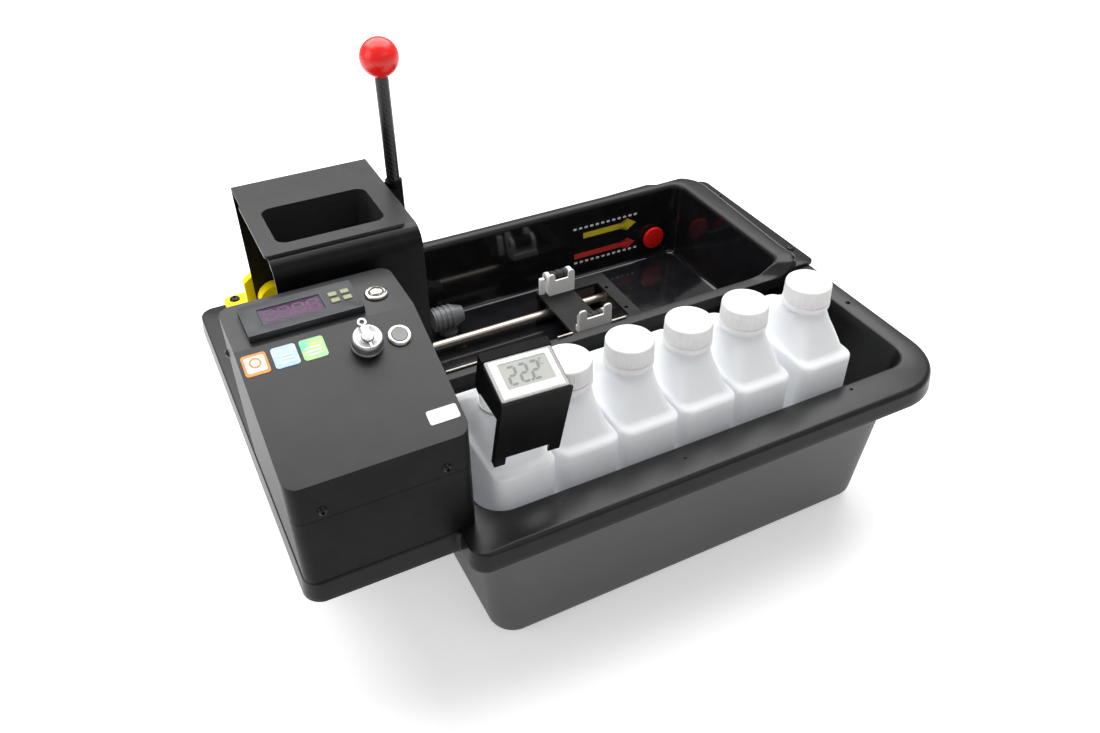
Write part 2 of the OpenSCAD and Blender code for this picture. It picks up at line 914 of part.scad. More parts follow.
module pivot_bracket_rear() {
    color([0.95, 0.82, 0.08])
        place()
            difference() {
                union() {
                    slab(22, hood_y+hood_d+2, 54, 61, 7, 0, 8);
                    slab(40, hood_y+hood_d-13, 34, 20, 3, 0, 8);
                    intersection() {
                        translate([36, hood_y+hood_d+2.5, 7])
                            cube([42, 7.5, pivot_h+14]);
                        along_y(pivot_x, hood_y+hood_d, pivot_h-8)
                            cylinder(h = 14, d = 60, $fn = 64);
                    }
                    translate([pivot_x-14, hood_y+hood_d-13, 7])
                        cube([28, 10, pivot_h-7]);
                    along_y(pivot_x, hood_y+hood_d-13, pivot_h)
                        cylinder(h = 10, r = 14, $fn = 64);
                }
                along_y(pivot_x, hood_y+hood_d-20, pivot_h)
                    cylinder(h = 50, d = pivot_d, $fn = 48);
                for (p = bracket_screws)
                    translate([p[0], p[1], -1])
                        cylinder(h = 12, d = 4.4, $fn = 24);
            }
}

module pivot_bracket_front() {
    color([0.95, 0.82, 0.08])
        place()
            difference() {
                union() {
                    slab(24, hood_y+5, 50, 44, 5, 0, 8);
                    translate([pivot_x-14, hood_y+5, 7])
                        cube([28, 10, pivot_h-7]);
                    along_y(pivot_x, hood_y+5, pivot_h)
                        cylinder(h = 10, r = 14, $fn = 64);
                }
                along_y(pivot_x, hood_y-1, pivot_h)
                    cylinder(h = 30, d = pivot_d, $fn = 48);
                for (p = bracket_screws)
                    translate([p[0], p[1], -1])
                        cylinder(h = 12, d = 4.4, $fn = 24);
            }
}

module pivot_pins() {
    color([0.7, 0.7, 0.72])
        place() {
            along_y(pivot_x, hood_y-2, pivot_h)
                cylinder(h = 17, d = pivot_d, $fn = 48);
            along_y(pivot_x, hood_y-3.5, pivot_h)
                cylinder(h = 1.8, d = 12, $fn = 48);
            along_y(pivot_x, hood_y+hood_d-13, pivot_h)
                cylinder(h = 27, d = pivot_d, $fn = 48);
        }
}

// Side outline of the hood, drawn with x to the right and y upward
module lift_side() {
    hull() {
        translate([pivot_x, pivot_h])
            circle(15, $fn = 64);
        polygon([[hood_x, hood_h-30], [hood_x, hood_h], [hood_x+hood_w, hood_h], [hood_x+hood_w, 8]]);
    }
}

// Cross-section of the hood: x from its front and y upward
module hood_section(g) {
    translate([g, -1])
        square([hood_d-2*g, hood_h-hood_r+1]);
    translate([hood_r, hood_h-hood_r-1])
        square([hood_d-g-hood_r, hood_r-g+1]);
    translate([hood_r, hood_h-hood_r])
        circle(hood_r-g, $fn = 64);
}

module lift_hood() {
    color([0.13, 0.13, 0.13])
        place()
            difference() {
                intersection() {
                    translate([hood_x-1, hood_y, 0])
                        rotate([90, 0, 90])
                            linear_extrude(hood_w+2)
                                hood_section(0);
                    translate([0, hood_y+hood_d+1, 0])
                        rotate([90, 0, 0])
                            linear_extrude(hood_d+2)
                                lift_side();
                }
                translate([hood_x-2, hood_y, 0])
                    rotate([90, 0, 90])
                        linear_extrude(hood_w+4)
                            hood_section(hood_t);
                along_y(pivot_x, hood_y-1, pivot_h)
                    cylinder(h = hood_d+2, d = pivot_d+2*pivot_clear, $fn = 48);
                slab(funnel_x-3, funnel_y-3, funnel_l+6, funnel_w+6, 11, hood_h-10, 20);
            }
}

module drive_plate() {
    color([0.1, 0.1, 0.1])
        place()
            difference() {
                translate([plate_x, 0, 0])
                    rotate([90, 0, 90])
                        linear_extrude(4)
                            union() {
                                polygon([[hood_y+hood_t, 9], [hood_y+hood_t+14, 9], [drive_y-26, 28],
                                    [drive_y+26, 28], [hood_y+hood_d-hood_t, 40],
                                    [hood_y+hood_d-hood_t, hood_h-hood_t], [hood_y+hood_r, hood_h-hood_t],
                                    [hood_y+hood_t, hood_h-hood_r]]);
                                translate([hood_y+hood_r, hood_h-hood_r])
                                    circle(hood_r-hood_t, $fn = 64);
                                translate([drive_y, drive_h])
                                    circle(28, $fn = 64);
                            }
                along_x(plate_x-1, drive_y, drive_h)
                    cylinder(h = 6, d = hub_d+2*hub_clear, $fn = 64);
            }
}

module drive_motor() {
    color([0.3, 0.3, 0.31])
        place()
            difference() {
                union() {
                    along_x(plate_x-16-motor_l, motor_y, motor_z)
                        cylinder(h = motor_l, d = motor_d, $fn = 64);
                    along_x(plate_x-22-motor_l, motor_y, motor_z)
                        cylinder(h = 8, d = 12, $fn = 40);
                    along_x(plate_x-17, motor_y, motor_z)
                        cylinder(h = 3, d = 14, $fn = 48);
                    for (a = [70, 130])
                        along_x(plate_x-17, motor_y+14*cos(a), motor_z+14*sin(a))
                            cylinder(h = 17, d = 6, $fn = 32);
                    along_x(plate_x-17, motor_y, motor_z)
                        cylinder(h = 16, d = 5, $fn = 40);
                }
                along_x(plate_x-23-motor_l, motor_y, motor_z)
                    cylinder(h = 5, d = 3, $fn = 24);
            }
}

module gear2d(n, bore, turn = 0) {
    difference() {
        union() {
            circle(gear_m*(n-2.5)/2, $fn = 96);
            for (i = [0:n-1])
                rotate(i*360/n+turn)
                    polygon([[gear_m*(n-3)/2, -gear_m*0.95], [gear_m*n/2, -gear_m*0.72],
                        [gear_m*(n+1.9)/2, -gear_m*0.34], [gear_m*(n+1.9)/2, gear_m*0.34],
                        [gear_m*n/2, gear_m*0.72], [gear_m*(n-3)/2, gear_m*0.95]]);
        }
        circle(d = bore, $fn = 64);
    }
}

module motor_pinion() {
    color([0.72, 0.62, 0.32])
        place()
            along_x(plate_x-12, motor_y, motor_z)
                rotate([0, 0, 90-motor_a])
                    linear_extrude(9)
                        gear2d(pinion_n, 5.1, 180/pinion_n);
}

module coupling_gear() {
    color([0.85, 0.85, 0.82])
        place()
            along_x(plate_x-11.5, drive_y, drive_h)
                rotate([0, 0, 90-motor_a])
                    linear_extrude(8)
                        gear2d(gear_n, hub_d-6, 0);
}

module tank_coupling() {
    color([0.12, 0.12, 0.13])
        place()
            difference() {
                union() {
                    along_x(plate_x-3.5, drive_y, drive_h)
                        cylinder(h = 8.3, d = hub_d, $fn = 64);
                    along_x(plate_x-11.5, drive_y, drive_h)
                        cylinder(h = 8.5, d = hub_d-6, $fn = 64);
                    along_x(plate_x+4.8, drive_y, drive_h)
                        cylinder(h = 12, d = coupling_d-10, $fn = 72);
                    along_x(plate_x+4.8, drive_y, drive_h)
                        cylinder(h = 3, d = coupling_d, $fn = 72);
                    for (i = [0:5])
                        along_x(plate_x+7, drive_y, drive_h)
                            rotate([0, 0, 60*i])
                                translate([coupling_d/2-6, -3, 0])
                                    cube([5.5, 6, 9.8]);
                }
                along_x(plate_x-20, drive_y, drive_h)
                    cylinder(h = 60, d = coupling_bore, $fn = 64);
                along_x(plate_x+9, drive_y, drive_h)
                    cylinder(h = 20, d = coupling_d-20, $fn = 64);
            }
}

module funnel_body(g, base, top) {
    slab(funnel_x-g, funnel_y-g, funnel_l+2*g, funnel_w+2*g, 8+g, hood_h-42, top);
    intersection() {
        translate([0, 300, 0])
            rotate([90, 0, 0])
                linear_extrude(120)
                    polygon([[funnel_x-g, hood_h-41.5], [funnel_x+funnel_l+g, hood_h-41.5],
                        [129+g, base], [109-g, base]]);
        translate([40, 0, 0])
            rotate([90, 0, 90])
                linear_extrude(100)
                    polygon([[funnel_y-g, hood_h-41.5], [funnel_y+funnel_w+g, hood_h-41.5],
                        [drive_y+10+g, base], [drive_y-10-g, base]]);
    }
}

module funnel() {
    color([0.12, 0.12, 0.12])
        place()
            difference() {
                union() {
                    slab(hood_x-2, funnel_y-12, 99.5, funnel_w+26, 3, hood_h, 2.3);
                    funnel_body(2, 64, 43);
                    translate([119, drive_y, drive_h])
                        cylinder(h = 35, d = spout_bore+4, $fn = 48);
                    along_x(112, drive_y, drive_h)
                        cylinder(h = 50, d = spout_bore+4, $fn = 48);
                    along_x(161, drive_y, drive_h)
                        cylinder(h = 12, d = spout_bore+2, $fn = 48);
                }
                funnel_body(0, 66, 50);
                translate([119, drive_y, drive_h])
                    cylinder(h = 40, d = spout_bore, $fn = 48);
                along_x(114, drive_y, drive_h)
                    cylinder(h = 60, d = spout_bore, $fn = 48);
            }
}

module lever_clamp() {
    color([0.07, 0.07, 0.07])
        place()
            difference() {
                union() {
                    translate([plate_x+4, lever_y-9, lever_z])
                        cube([9, 18, 25]);
                    translate([lever_x, lever_y, lever_z])
                        cylinder(h = 30, d = lever_d+3, $fn = 48);
                }
                translate([lever_x, lever_y, lever_z+3])
                    cylinder(h = 40, d = lever_d, $fn = 48);
            }
}

module lever_tube() {
    color([0.16, 0.16, 0.16])
        place()
            translate([lever_x, lever_y, lever_z+3])
                cylinder(h = lever_l+29, d = lever_d, $fn = 48);
}

module lever_ball() {
    color([0.85, 0.1, 0.1])
        place()
            difference() {
                translate([lever_x, lever_y, lever_z+36+lever_l])
                    sphere(d = ball_d, $fn = 64);
                translate([lever_x, lever_y, lever_z])
                    cylinder(h = lever_l+32, d = lever_d, $fn = 48);
            }
}

// The roller carriage on the bath's floor
module carriage_plate() {
    color([0.1, 0.1, 0.1])
        place()
            difference() {
                union() {
                    translate([car_x, roller_y-46, car_z-3])
                        cube([car_l, 90, 3]);
                    for (x = [car_x+2, car_x+car_l-8])
                        for (y = [roller_y-46, roller_y+38])
                            translate([x, y, -bath_h+0.2])
                                cube([6, 6, car_h-2.2]);
                    for (y = [roller_y-46, roller_y+41])
                        translate([car_x, y, car_z-8])
                            cube([car_l, 3, 6]);
                }
                translate([car_x+34, roller_y-31, car_z-4])
                    cube([27, 60, 6]);
                for (i = [0:1])
                    translate([car_x+car_l-9, roller_y-20+i*38, car_z-4])
                        cylinder(h = 6, d = 4, $fn = 24);
            }
}

module roller_stand(x, y, w) {
    translate([x, y-8, car_z])
        cube([w, 16, 6]);
    for (k = [0, w-4])
        translate([x+k, y-6, car_z])
            cube([4, 12, 15]);
    for (k = [0, w-4])
        along_x(x+k, y, car_z+15)
            cylinder(h = 4, d = 12, $fn = 48);
}

module roller_brackets() {
    color([0.93, 0.93, 0.92])
        place()
            difference() {
                union() {
                    roller_stand(car_x+4.5, roller_y-roller_span/2, roller_l+9.5);
                    roller_stand(car_x+8, roller_y+roller_span/2, roller_l+9.5);
                }
                along_x(car_x, roller_y-roller_span/2, car_z+15)
                    cylinder(h = 50, d = roller_pin, $fn = 40);
                along_x(car_x, roller_y+roller_span/2, car_z+15)
                    cylinder(h = 50, d = roller_pin, $fn = 40);
                along_x(car_x+5.5, roller_y-roller_span/2, car_z+15)
                    translate([0, 0, 3])
                        cylinder(h = roller_l+1.5, d = roller_d+3, $fn = 48);
                along_x(car_x+9, roller_y+roller_span/2, car_z+15)
                    translate([0, 0, 3])
                        cylinder(h = roller_l+1.5, d = roller_d+3, $fn = 48);
            }
}

module roller_pins() {
    color([0.75, 0.75, 0.76])
        place() {
            along_x(car_x+4.2, roller_y-roller_span/2, car_z+15)
                cylinder(h = roller_l+10.1, d = roller_pin, $fn = 40);
            along_x(car_x+7.7, roller_y+roller_span/2, car_z+15)
                cylinder(h = roller_l+10.1, d = roller_pin, $fn = 40);
        }
}

module roller() {
    difference() {
        union() {
            cylinder(h = roller_l, d = roller_d-1.6, $fn = 64);
            for (k = [0:2])
                translate([0, 0, 0.5+k*6.4])
                    cylinder(h = 4.2, d = roller_d, $fn = 64);
        }
        translate([0, 0, -1])
            cylinder(h = roller_l+2, d = roller_pin+2*roller_clear, $fn = 40);
    }
}

module front_roller() {
    color([0.06, 0.06, 0.06])
        place()
            along_x(car_x+4.5+4.75, roller_y-roller_span/2, car_z+15)
                roller();
}

module rear_roller() {
    color([0.06, 0.06, 0.06])
        place()
            along_x(car_x+8+4.75, roller_y+roller_span/2, car_z+15)
                roller();
}

// Left side of bottle k, counted from 0
function bottle_px(k) = bottle_x+k*bottle_pitch+(k == 5 ? last_gap : 0);

// A bottle's outline drawn in by g: a body, a flat ledge and a steep shoulder that ends in a round neck
module bottle_form(g, floor) {
    w = bottle_w-2*g;
    d = bottle_d-2*g;
    slab(g, g, w, d, 9-g, base_h, bottle_h-base_h-g*0.5, 32);
    hull() {
        slab(4.2+g, 4.2+g, w-8.4, d-8.4, 4.8-g, floor, 0.1, 32);
        slab(0.6+g, 0.6+g, w-1.2, d-1.2, 8.4-g, base_h+0.2, 0.1, 32);
    }
    hull() {
        slab(0.6+g, 0.6+g, w-1.2, d-1.2, 8.4-g, bottle_h-1.5-g*0.5, 0.1, 32);
        slab(3.6+g, ledge_w-0.4+g, w-7.2, d-2*ledge_w+0.8, 6.4-g, bottle_h+2.4-g*0.5, 0.1, 32);
    }
    hull() {
        slab(4+g, ledge_w+g, w-8, d-2*ledge_w, 6-g, bottle_h+1-g*0.5, 0.1, 32);
        translate([bottle_w/2, 40, shoulder_z-0.1-g])
            cylinder(h = 0.1, r = neck_d/2+1.6-g*0.5, $fn = 48);
    }
}

module bottle(k) {
    color([0.93, 0.94, 0.95])
        place()
            translate([bottle_px(k), bottle_y, -basin_h])
                difference() {
                    union() {
                        bottle_form(0, 0);
                        translate([bottle_w/2, 40, shoulder_z-0.8])
                            cylinder(h = 20.2, d = neck_d, $fn = 64);
                    }
                    bottle_form(bottle_t, bottle_t);
                    translate([bottle_w/2, 40, bottle_h+10])
                        cylinder(h = 60, d = neck_d-2*bottle_t, $fn = 64);
                }
}

module bottle_1() {
    bottle(0);
}

module bottle_2() {
    bottle(1);
}

module bottle_3() {
    bottle(2);
}

module bottle_4() {
    bottle(3);
}

module bottle_5() {
    bottle(4);
}

module bottle_6() {
    bottle(5);
}

module bottle_cap(k) {
    color([0.95, 0.95, 0.94])
        place()
            translate([bottle_px(k)+bottle_w/2, bottle_y+40, -basin_h+shoulder_z+2.6])
                difference() {
                    union() {
                        cylinder(h = bottle_cap_h-1, d = bottle_cap_d, $fn = 72);
                        translate([0, 0, bottle_cap_h-1.01])
                            cylinder(h = 1.01, d1 = bottle_cap_d, d2 = bottle_cap_d-2, $fn = 72);
                    }
                    translate([0, 0, -1])
                        cylinder(h = 17.9, d = neck_d+2*neck_clear, $fn = 72);
                    for (i = [0:23])
                        rotate([0, 0, i*15])
                            translate([bottle_cap_d/2+0.6, 0, -1])
                                cylinder(h = bottle_cap_h-1, d = 2.4, $fn = 14);
                }
}

module cap_2() {
    bottle_cap(1);
}

module cap_3() {
    bottle_cap(2);
}

module cap_4() {
    bottle_cap(3);
}

module cap_5() {
    bottle_cap(4);
}

module cap_6() {
    bottle_cap(5);
}

// The thermometer's face: x across it, y up it and z out of it, from its lower left corner
module on_face() {
    translate([holder_x, holder_y, holder_z])
        rotate([0, 0, -holder_turn])
            rotate([holder_a, 0, 0])
                children();
}

module holder_side() {
    rotate([90, 0, 90])
        linear_extrude(2)
            polygon([[-1.5, -3], [40.5, -2], [40.5, -35], [-1.5, -20]]);
}

module thermometer_holder() {
    color([0.07, 0.07, 0.07])
        place()
            difference() {
                union() {
                    on_face() {
                        translate([-0.8, 0, 0])
                            holder_side();
                        translate([face_w-1.4, 0, 0])
                            holder_side();
                        translate([-0.8, face_l+0.4, -35])
                            cube([face_w+1.4, 7, 35]);
                        translate([-0.8, -1.6, -plate_l])
                            cube([face_w+1.4, 2, plate_l-0.5]);
                        for (x = [-0.8, face_w-1.4])
                            translate([x, -1.6, -plate_l])
                                cube([2, 5.5, plate_l-22]);
                    }
                }
                on_face()
                    translate([1.2, face_l-3, -40])
                        cube([face_w-2.6, 8.4, 38]);
                on_face()
                    translate([7, -4, -plate_l-1])
                        cube([face_w-15, 8, 10]);
            }
}

// A ring around the first bottle's neck with an arm that carries the holder
module holder_ring() {
    color([0.07, 0.07, 0.07])
        place()
            difference() {
                union() {
                    translate([neck_x, neck_y, shoulder_top+0.3])
                        cylinder(h = 6, d = neck_d+8, $fn = 64);
                    translate([neck_x-10, neck_y-41, shoulder_top+0.3])
                        cube([20, 28, 6]);
                }
                on_face()
                    translate([-20, -59.6, -110])
                        cube([100, 60, 130]);
                translate([neck_x, neck_y, 0])
                    cylinder(h = 90, d = neck_d+2*neck_clear, $fn = 64);
            }
}

module thermometer_module() {
    color([0.86, 0.86, 0.85])
        place()
            on_face()
                difference() {
                    union() {
                        translate([0, 0.5, -2])
                            cube([face_w-0.1, face_l-0.2, 2]);
                        translate([1.4, 2, -14])
                            cube([face_w-3, face_l-6, 12.5]);
                    }
                    translate([7.5, 9, -0.7])
                        cube([face_w-15, face_l-15, 2]);
                }
}

outer_tub();
bath_tray();
ridge_strip();
button_screws();
rubber_feet();
power_housing();
power_inlet();
power_rocker();
level_label();
wall_plug();
heater_rod();
pump_body();
pump_nozzle();
box_base();
box_cover();
thermostat_case();
display_window();
key_1();
key_2();
key_3();
key_4();
pump_bezel();
pump_cap();
low_speed_bezel();
low_speed_cap();
speed_control();
speed_knob();
panel_labels();
pivot_bracket_rear();
pivot_bracket_front();
pivot_pins();
lift_hood();
drive_plate();
drive_motor();
motor_pinion();
coupling_gear();
tank_coupling();
funnel();
lever_clamp();
lever_tube();
lever_ball();
carriage_plate();
roller_brackets();
roller_pins();
front_roller();
rear_roller();
bottle_1();
bottle_2();
bottle_3();
bottle_4();
bottle_5();
bottle_6();
cap_2();
cap_3();
cap_4();
cap_5();
cap_6();
thermometer_holder();
holder_ring();
thermometer_module();
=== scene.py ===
import json
import math
import bmesh
import bpy
import numpy as np
from mathutils import Matrix, Vector

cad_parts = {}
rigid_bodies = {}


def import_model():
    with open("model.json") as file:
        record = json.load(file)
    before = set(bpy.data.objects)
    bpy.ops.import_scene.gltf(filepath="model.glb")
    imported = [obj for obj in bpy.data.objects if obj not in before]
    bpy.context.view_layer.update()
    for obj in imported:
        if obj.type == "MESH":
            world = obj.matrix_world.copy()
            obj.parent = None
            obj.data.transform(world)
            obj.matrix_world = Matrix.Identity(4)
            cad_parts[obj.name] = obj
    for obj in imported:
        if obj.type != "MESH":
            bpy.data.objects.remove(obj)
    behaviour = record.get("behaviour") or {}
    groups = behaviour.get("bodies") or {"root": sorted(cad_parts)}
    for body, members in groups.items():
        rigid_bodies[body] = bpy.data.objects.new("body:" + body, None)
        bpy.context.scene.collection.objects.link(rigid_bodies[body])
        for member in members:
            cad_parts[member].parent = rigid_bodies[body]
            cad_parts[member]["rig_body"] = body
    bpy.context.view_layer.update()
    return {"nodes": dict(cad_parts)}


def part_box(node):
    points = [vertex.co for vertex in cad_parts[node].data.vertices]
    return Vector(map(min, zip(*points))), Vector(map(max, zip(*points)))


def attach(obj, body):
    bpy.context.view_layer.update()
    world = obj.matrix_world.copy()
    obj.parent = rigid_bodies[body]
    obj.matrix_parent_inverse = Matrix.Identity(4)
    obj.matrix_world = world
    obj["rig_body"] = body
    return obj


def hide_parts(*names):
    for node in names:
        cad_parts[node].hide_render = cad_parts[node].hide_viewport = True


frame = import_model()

tubLow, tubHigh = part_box("outer_tub")
skirtOut = 0.0016  # the tub's skirt stands out this far beyond the flange's edge, in metres
deckCorner = np.array([tubLow.x + skirtOut, tubLow.y + skirtOut, tubHigh.z])  # left, front, flange's top
print("frame loaded", len(frame["nodes"]), "nodes")


# shapes, each as points in millimetres and faces
def inFrame(points):
    # millimetres from the deck's corner become metres in the frame
    return np.asarray(points, float) / 1000 + deckCorner


def gridFaces(rows, cols, wrapRows):
    # point (i, j) joins its neighbours (i, j+1), (i+1, j+1) and (i+1, j); the columns go all round
    i = np.arange(rows if wrapRows else rows - 1)[:, None]
    j = np.arange(cols)[None, :]
    i2, j2 = (i + 1) % rows, (j + 1) % cols
    return np.stack([i * cols + j, i * cols + j2, i2 * cols + j2, i2 * cols + j], -1).reshape(-1, 4)


def loft(rings):
    # rings is rows x columns x 3; each ring joins the next, and a fan to its mean point closes each end
    rings = np.asarray(rings, float)
    rows, cols = rings.shape[:2]
    points = np.vstack([rings.reshape(-1, 3), rings[0].mean(0), rings[-1].mean(0)])
    j = np.arange(cols)
    base = (rows - 1) * cols
    first = np.stack([(j + 1) % cols, j, np.full(cols, rows * cols)], -1)
    last = np.stack([base + j, base + (j + 1) % cols, np.full(cols, rows * cols + 1)], -1)
    return points, gridFaces(rows, cols, False).tolist() + first.tolist() + last.tolist()


def ringTube(rings):
    # rings that also join the last to the first, such as a frame or a torus
    rings = np.asarray(rings, float)
    return rings.reshape(-1, 3), gridFaces(rings.shape[0], rings.shape[1], True).tolist()


def joined(*shapes):
    points, faces, count = [], [], 0
    for p, f in shapes:
        points.append(np.asarray(p, float))
        faces += [[k + count for k in face] for face in f]
        count += len(p)
    return np.vstack(points), faces


def moved(shape, matrix):
    p = np.asarray(shape[0], float)
    return p @ matrix[:3, :3].T + matrix[:3, 3], shape[1]


def spot(x=0.0, y=0.0, z=0.0, turns=()):
    # a 4x4 that turns by each (axis, degrees) from the right and then shifts to x, y, z
    m = Matrix.Translation((x, y, z))
    for axis, degrees in turns:
        m = m @ Matrix.Rotation(math.radians(degrees), 4, axis)
    return np.array(m)


def roundedLoop(corners, grow=0.0, step=7.0):
    # corners (x, y, radius) anticlockwise; each edge is shifted outward by grow and each corner is an arc
    c = np.array(corners, float)
    p = c[:, :2]
    after = np.roll(p, -1, 0) - p
    after /= np.linalg.norm(after, axis=1)[:, None]
    before = np.roll(after, 1, 0)
    nAfter = np.stack([after[:, 1], -after[:, 0]], -1)
    nBefore = np.roll(nAfter, 1, 0)
    v = p + grow * (nBefore + nAfter) / (1 + (nBefore * nAfter).sum(1))[:, None]
    side = np.sign(before[:, 0] * after[:, 1] - before[:, 1] * after[:, 0])
    turn = np.arccos(np.clip((before * after).sum(1), -1, 1))
    leastRadius = 0.02
    radius = np.maximum(c[:, 2] + grow * side, leastRadius)
    out = []
    for k in range(len(p)):
        start = v[k] - before[k] * radius[k] * math.tan(turn[k] / 2)
        centre = start - side[k] * nBefore[k] * radius[k]
        n = max(2, int(math.ceil(math.degrees(turn[k]) / step)) + 1)
        a = side[k] * np.linspace(0, turn[k], n)
        d = start - centre
        turned = [d[0] * np.cos(a) - d[1] * np.sin(a), d[0] * np.sin(a) + d[1] * np.cos(a)]
        out.append(centre + np.stack(turned, -1))
    return np.vstack(out)


def boxLoop(x0, y0, x1, y1, r, grow=0.0, step=7.0):
    return roundedLoop([(x0, y0, r), (x1, y0, r), (x1, y1, r), (x0, y1, r)], grow, step)


def rayAngles(centre, loops, widest=3.0):
    # every loop's own corner directions, with the wide gaps filled evenly
    a = np.concatenate([np.arctan2(l[:, 1] - centre[1], l[:, 0] - centre[0]) for l in loops])
    a = np.unique(np.round(a, 4))
    a = np.append(a, a[0] + 2 * math.pi)
    steps = np.maximum(1, np.ceil(np.diff(a) / math.radians(widest))).astype(int)
    return np.concatenate([np.linspace(a[k], a[k + 1], steps[k], endpoint=False) for k in range(len(steps))])


def rayLoop(loop, centre, angles):
    # the point where the ray at each angle leaves the loop
    a = loop - np.array(centre)
    d = np.roll(a, -1, 0) - a
    r = np.stack([np.cos(angles), np.sin(angles)], -1)
    den = r[:, None, 0] * d[None, :, 1] - r[:, None, 1] * d[None, :, 0]
    tiny, slack = 1e-12, 1e-7
    den = np.where(np.abs(den) < tiny, tiny, den)
    s = (a[None, :, 0] * d[None, :, 1] - a[None, :, 1] * d[None, :, 0]) / den
    t = (a[None, :, 0] * r[:, None, 1] - a[None, :, 1] * r[:, None, 0]) / den
    s = np.where((t > -slack) & (t < 1 + slack) & (s > 0), s, 0).max(1)
    return np.array(centre) + r * s[:, None]


def ringAt(xy, z):
    return np.column_stack([xy, np.broadcast_to(z, (len(xy),))])


def arcSteps(n, start=0.0, end=90.0):
    a = np.radians(np.linspace(start, end, n))
    return list(zip(np.cos(a), np.sin(a)))


def lathe(profile, segments=64, closed=True, wobble=None):
    # each (radius, height) of the profile is turned round z; wobble(angle, row) changes the radius
    p = np.array(profile, float)
    offAxis = 0.0005  # a point on the axis is kept this far from it
    a = np.linspace(0, 2 * math.pi, segments, endpoint=False)
    r = np.maximum(p[:, 0:1], offAxis) + (wobble(a[None, :], np.arange(len(p))[:, None]) if wobble else 0)
    r = np.broadcast_to(r, (len(p), segments))
    z = np.broadcast_to(p[:, 1:2], (len(p), segments))
    rings = np.stack([r * np.cos(a), r * np.sin(a), z], -1)
    return loft(rings) if closed else ringTube(rings)


def softBox(x, y, z, l, d, h, r=1.0, e=0.4):
    # a block with upright corners of radius r and edges rounded by e
    rows = []
    for c, s in arcSteps(4):
        rows.append(ringAt(boxLoop(x, y, x + l, y + d, r, -e * (1 - s), 15), z + e * (1 - c)))
    for c, s in arcSteps(4):
        rows.append(ringAt(boxLoop(x, y, x + l, y + d, r, -e * (1 - c), 15), z + h - e * (1 - s)))
    return loft(rows)


def sweep(path, radius, segments):
    # a round bar whose rings stand square to the path
    p = np.array(path, float)
    t = np.gradient(p, axis=0)
    t /= np.linalg.norm(t, axis=1)[:, None]
    u = np.cross(t, np.array([0.13, 0.98, 0.11]))  # any direction that no path follows
    u /= np.linalg.norm(u, axis=1)[:, None]
    w = np.cross(t, u)
    a = np.linspace(0, 2 * math.pi, segments, endpoint=False)
    around = np.cos(a)[None, :, None] * u[:, None] + np.sin(a)[None, :, None] * w[:, None]
    return loft(p[:, None] + radius * around)


def faceLooks(rowLooks, cols):
    # the material index of each face of a loft: one for each row, and 0 and 1 for the fans that close it
    return np.concatenate([np.repeat(rowLooks, cols), np.zeros(cols), np.ones(cols)]).astype(int)


def panelPlate(loop, z0, z1):
    return loft([ringAt(loop, z0), ringAt(loop, z1)])


# materials
sockets = {"metal": "Metallic", "shine": "Specular IOR Level", "coat": "Coat Weight",
           "coatRoughness": "Coat Roughness", "milk": "Subsurface Weight", "milkDepth": "Subsurface Scale",
           "milkRadius": "Subsurface Radius", "glow": "Emission Strength"}
mottleRange = (0.35, 0.7)  # the noise values between which the first colour turns into the second
glossRange = (0.3, 0.7)  # and those between which the roughness goes from its first value to its second


def finish(name, look):
    # one principled finish: mottled colour, uneven gloss and a fine bump, all on object coordinates
    m = bpy.data.materials.new(name)
    m.use_nodes = True
    nodes, links = m.node_tree.nodes, m.node_tree.links
    shader = nodes["Principled BSDF"]
    for word, socket in sockets.items():
        if word in look:
            shader.inputs[socket].default_value = look[word]
    if "glowColour" in look:
        shader.inputs["Emission Color"].default_value = (*look["glowColour"], 1)
    where = nodes.new("ShaderNodeTexCoord")
    mapping = nodes.new("ShaderNodeMapping")
    mapping.inputs["Scale"].default_value = look.get("stretch", (1, 1, 1))
    links.new(where.outputs["Object"], mapping.inputs["Vector"])

    def noise(scale, detail=3.0):
        n = nodes.new("ShaderNodeTexNoise")
        n.inputs["Scale"].default_value = scale
        n.inputs["Detail"].default_value = detail
        links.new(mapping.outputs["Vector"], n.inputs["Vector"])
        return n.outputs["Fac"]

    colour = look["colour"]
    second = look.get("second", tuple(c * 1.25 + 0.002 for c in colour))
    ramp = nodes.new("ShaderNodeValToRGB")
    for k, tint in enumerate((colour, second)):
        ramp.color_ramp.elements[k].position = mottleRange[k]
        ramp.color_ramp.elements[k].color = (*tint, 1)
    links.new(noise(look.get("patch", 60)), ramp.inputs["Fac"])
    links.new(ramp.outputs["Color"], shader.inputs["Base Color"])
    gloss = nodes.new("ShaderNodeMapRange")
    for k, end in enumerate(("Min", "Max")):
        gloss.inputs["From " + end].default_value = glossRange[k]
        gloss.inputs["To " + end].default_value = look["roughness"][k]
    links.new(noise(look.get("smear", 90), 5.0), gloss.inputs["Value"])
    links.new(gloss.outputs["Result"], shader.inputs["Roughness"])
    bump = nodes.new("ShaderNodeBump")
    bump.inputs["Strength"].default_value = look.get("bump", 0.1)
    bump.inputs["Distance"].default_value = look.get("depth", 0.0001)
    links.new(noise(look.get("grain", 1500), 2.0), bump.inputs["Height"])
    links.new(bump.outputs["Normal"], shader.inputs["Normal"])
    return m


